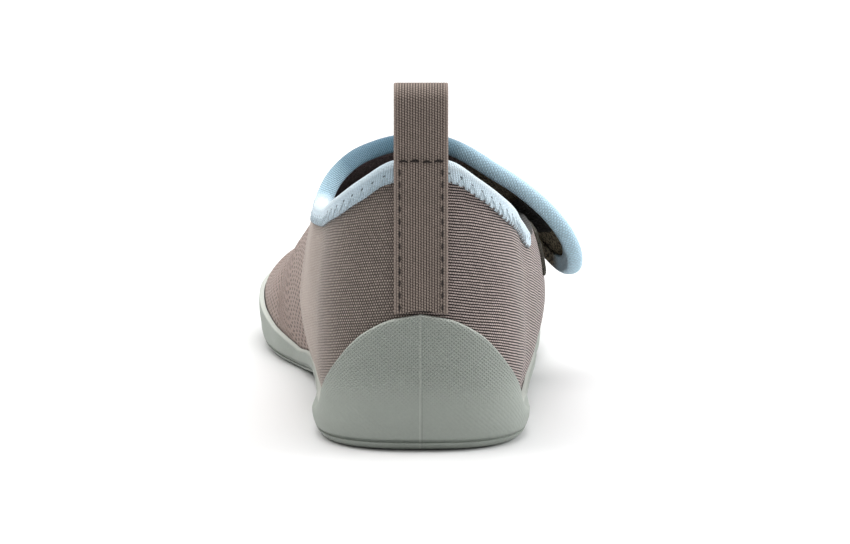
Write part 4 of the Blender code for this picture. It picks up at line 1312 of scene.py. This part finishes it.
def ribbonPath():  # y, z, hug of the outer face in the plane of the back seam
    path = []
    wall, gap, thick = lastForm["wall"], lastForm["gap"], ribbonLook["thick"]
    clear = gap + thick
    step = tapeLook["gap"] + tapeLook["thick"]
    for z in np.linspace(float(rimTop(0)) + 1.2, 73.0, 12):
        share = np.clip((z - 63.0) / 4.0, 0, 1)
        p = wallPoint(-1, 0.0, z, clear + step * share)
        path.append((p[1], p[2], 1.0))
    base = path[-1]
    inner = base[0] + wall + 2 * (step + gap) + thick * 2
    radius = (inner - base[0]) / 2
    rise = ribbonLook["top"] - radius * 1.15
    slack = ribbonLook["slack"]
    path.append((base[0] - slack * 0.7, base[1] + 5.0, 0.6))
    path.append((base[0] - slack, rise - 4.0, 0.2))
    for degrees in np.linspace(180, 0, 9):
        turn = math.radians(degrees)
        across = base[0] + radius + (radius + slack) * math.cos(turn)
        path.append((across, rise + (ribbonLook["top"] - rise) * math.sin(turn), 0.0))
    path.append((inner + slack, rise - 4.0, 0.2))
    path.append((inner + slack * 0.7, base[1] + 5.0, 0.6))
    for z in (73.0, 69.0, 65.0, 61.0):
        share = np.clip((z - 63.0) / 4.0, 0, 1)
        p = wallPoint(-1, 0.0, z, -wall - clear - 0.4 - step * share)
        path.append((p[1], p[2], 1.0))
    return np.array(path, float)


def smoothPath(path, spacing):  # evenly spaced points on a soft spline through the given ones
    length = pathLength(path[:, :2])
    fine = np.linspace(0, length[-1], int(length[-1] / spacing))
    slope = np.gradient(path, length, axis=0)
    i = np.clip(np.searchsorted(length, fine) - 1, 0, len(length) - 2)
    gap = (length[i + 1] - length[i])[:, None]
    s = ((fine - length[i]) / gap[:, 0])[:, None]
    return (path[i] * (1 + 2 * s) * (1 - s) ** 2 + slope[i] * gap * s * (1 - s) ** 2
            + path[i + 1] * s * s * (3 - 2 * s) + slope[i + 1] * gap * s * s * (s - 1))


ribbonLine = smoothPath(ribbonPath(), ribbonLook["spacing"])


def ribbonFace(path, x, under=0.0):  # points across the ribbon for each place on its line
    slope = unit(np.gradient(path[:, :2], axis=0))
    out = np.stack([-slope[:, 1], slope[:, 0]], axis=-1)  # y, z direction away from the shoe or loop
    x = np.asarray(x, float)
    bend = lastForm["heelRound"] * (1 - quarterRound(np.abs(x) / 23.0, lastForm["heelSquare"]))
    y = path[:, :1] + bend[None, :] * path[:, 2:3] - out[:, :1] * under
    z = path[:, 1:2] - out[:, 1:] * under + 0 * y
    return np.stack([x[None, :] + 0 * y, y, z], axis=-1)


def makeRibbon():
    half = ribbonLook["width"] / 2
    x = np.linspace(-half, half, ribbonLook["ribs"] * 4 + 1)
    rib = 0.5 - 0.5 * np.cos((x + half) / ribbonLook["width"] * ribbonLook["ribs"] * 2 * math.pi)
    edge = np.clip((half - np.abs(x)) / 0.5, 0, 1)
    dip = ribbonLook["ribDepth"] * (1 - rib) + 0.3 * (1 - np.sqrt(1 - (1 - edge) ** 2))
    front = ribbonFace(ribbonLine, x, dip[None, :])
    back = ribbonFace(ribbonLine, x[::-1], ribbonLook["thick"] - dip[None, ::-1])
    lower = np.interp(np.abs(x), (0, half), (0.0, float(rimTop(half) - rimTop(0))))
    fade = np.clip(1 - np.arange(len(ribbonLine)) * ribbonLook["spacing"] / 4.0, 0, 1)[:, None]
    front[..., 2] += lower[None, :] * fade
    back[..., 2] += lower[None, ::-1] * fade
    points = np.concatenate([front, back, front[:, :1]], axis=1)
    place = gridPlace(pathLength(ribbonLine[:, :2]), np.concatenate([x, x[::-1], x[:1]]))
    data = gridMesh("pullRibbon", [{"points": points, "maps": {"ribbonMap": place}}], caps=True, outward=True)
    finish, tree, shader = startMaterial("ribbedWebbing", {"Roughness": 0.82, "Specular IOR Level": 0.3})
    spot = mapPlace(tree, "ribbonMap")
    px, py, _ = split(tree, spot)
    shifted = calc(tree, "ADD", py, half)
    weave = useGroup(tree, ribWeave, Place=join(tree, px, shifted), Stagger=0.34, StitchPitch=0.67,
                     RowPitch=ribbonLook["width"] / ribbonLook["ribs"], StitchDepth=0.65, Wander=0.05)
    tone = mixColour(tree, weave["Gap"], ribbonLook["colour"], ribbonLook["gap"])
    selvage = ramp(tree, calc(tree, "ABSOLUTE", py), half - 1.1, half - 0.5)
    tone = mixColour(tree, times(tree, selvage, 0.6), tone, ribbonLook["edge"])
    dress(tree, shader, tone, 0.08, 0.12, weave["Height"], 0.22, 0.9)
    addPiece("pullRibbon", data, (finish,), "pull_loop")


def makeRibbonStitches():
    lines = []
    face = ribbonLine[: int(np.argmax(ribbonLine[:, 1]))]
    for z in np.arange(ribbonLook["stitchLow"], ribbonLook["stitchHigh"], ribbonLook["stitchPitch"]):
        for x in (-ribbonLook["stitchX"], ribbonLook["stitchX"]):
            heights = z + np.linspace(0, 1.75, 7)
            place = interpColumns(heights, face[:, 1], face)
            lift = (0.42, 0.1, -0.04, -0.06, -0.04, 0.1, 0.42)
            lines.append([ribbonFace(place, np.array([x]), under)[n, 0] for n, under in enumerate(lift)])
    half = ribbonLook["width"] / 2
    span = (half - 0.9) * 2 / ribbonLook["barCount"]
    for i in range(ribbonLook["barCount"]):
        xs = -half + 0.9 + span * i + np.linspace(0.06, 0.94, 7) * span
        bar = []
        rise = ribbonLook["barRise"] * np.sin(np.linspace(0, math.pi, 7)) + 0.1 * math.sin(i * 2.3)
        place = interpColumns(ribbonLook["barZ"] + rise, face[:, 1], face)
        lift = np.array([0.42, 0.08, -0.08, -0.1, -0.08, 0.08, 0.42])
        for n, x in enumerate(xs):
            near = np.vstack([place[n] - [0, 0.2, 0], place[n], place[n] + [0, 0.2, 0]])
            bar.append(ribbonFace(near, np.array([x]), lift[n])[1, 0])
        lines.append(bar)
    radius = np.array([0.14, 0.24, 0.27, 0.27, 0.27, 0.24, 0.14])
    data = threadMesh("ribbonStitches", np.array(lines), radius, 8)
    finish = makeThreadFinish("darkThread", ribbonLook["thread"], ribbonLook["threadDark"], 0.5)
    addPiece("ribbonStitches", data, (finish,))


makeRibbon()
makeRibbonStitches()
print("pull loop made")
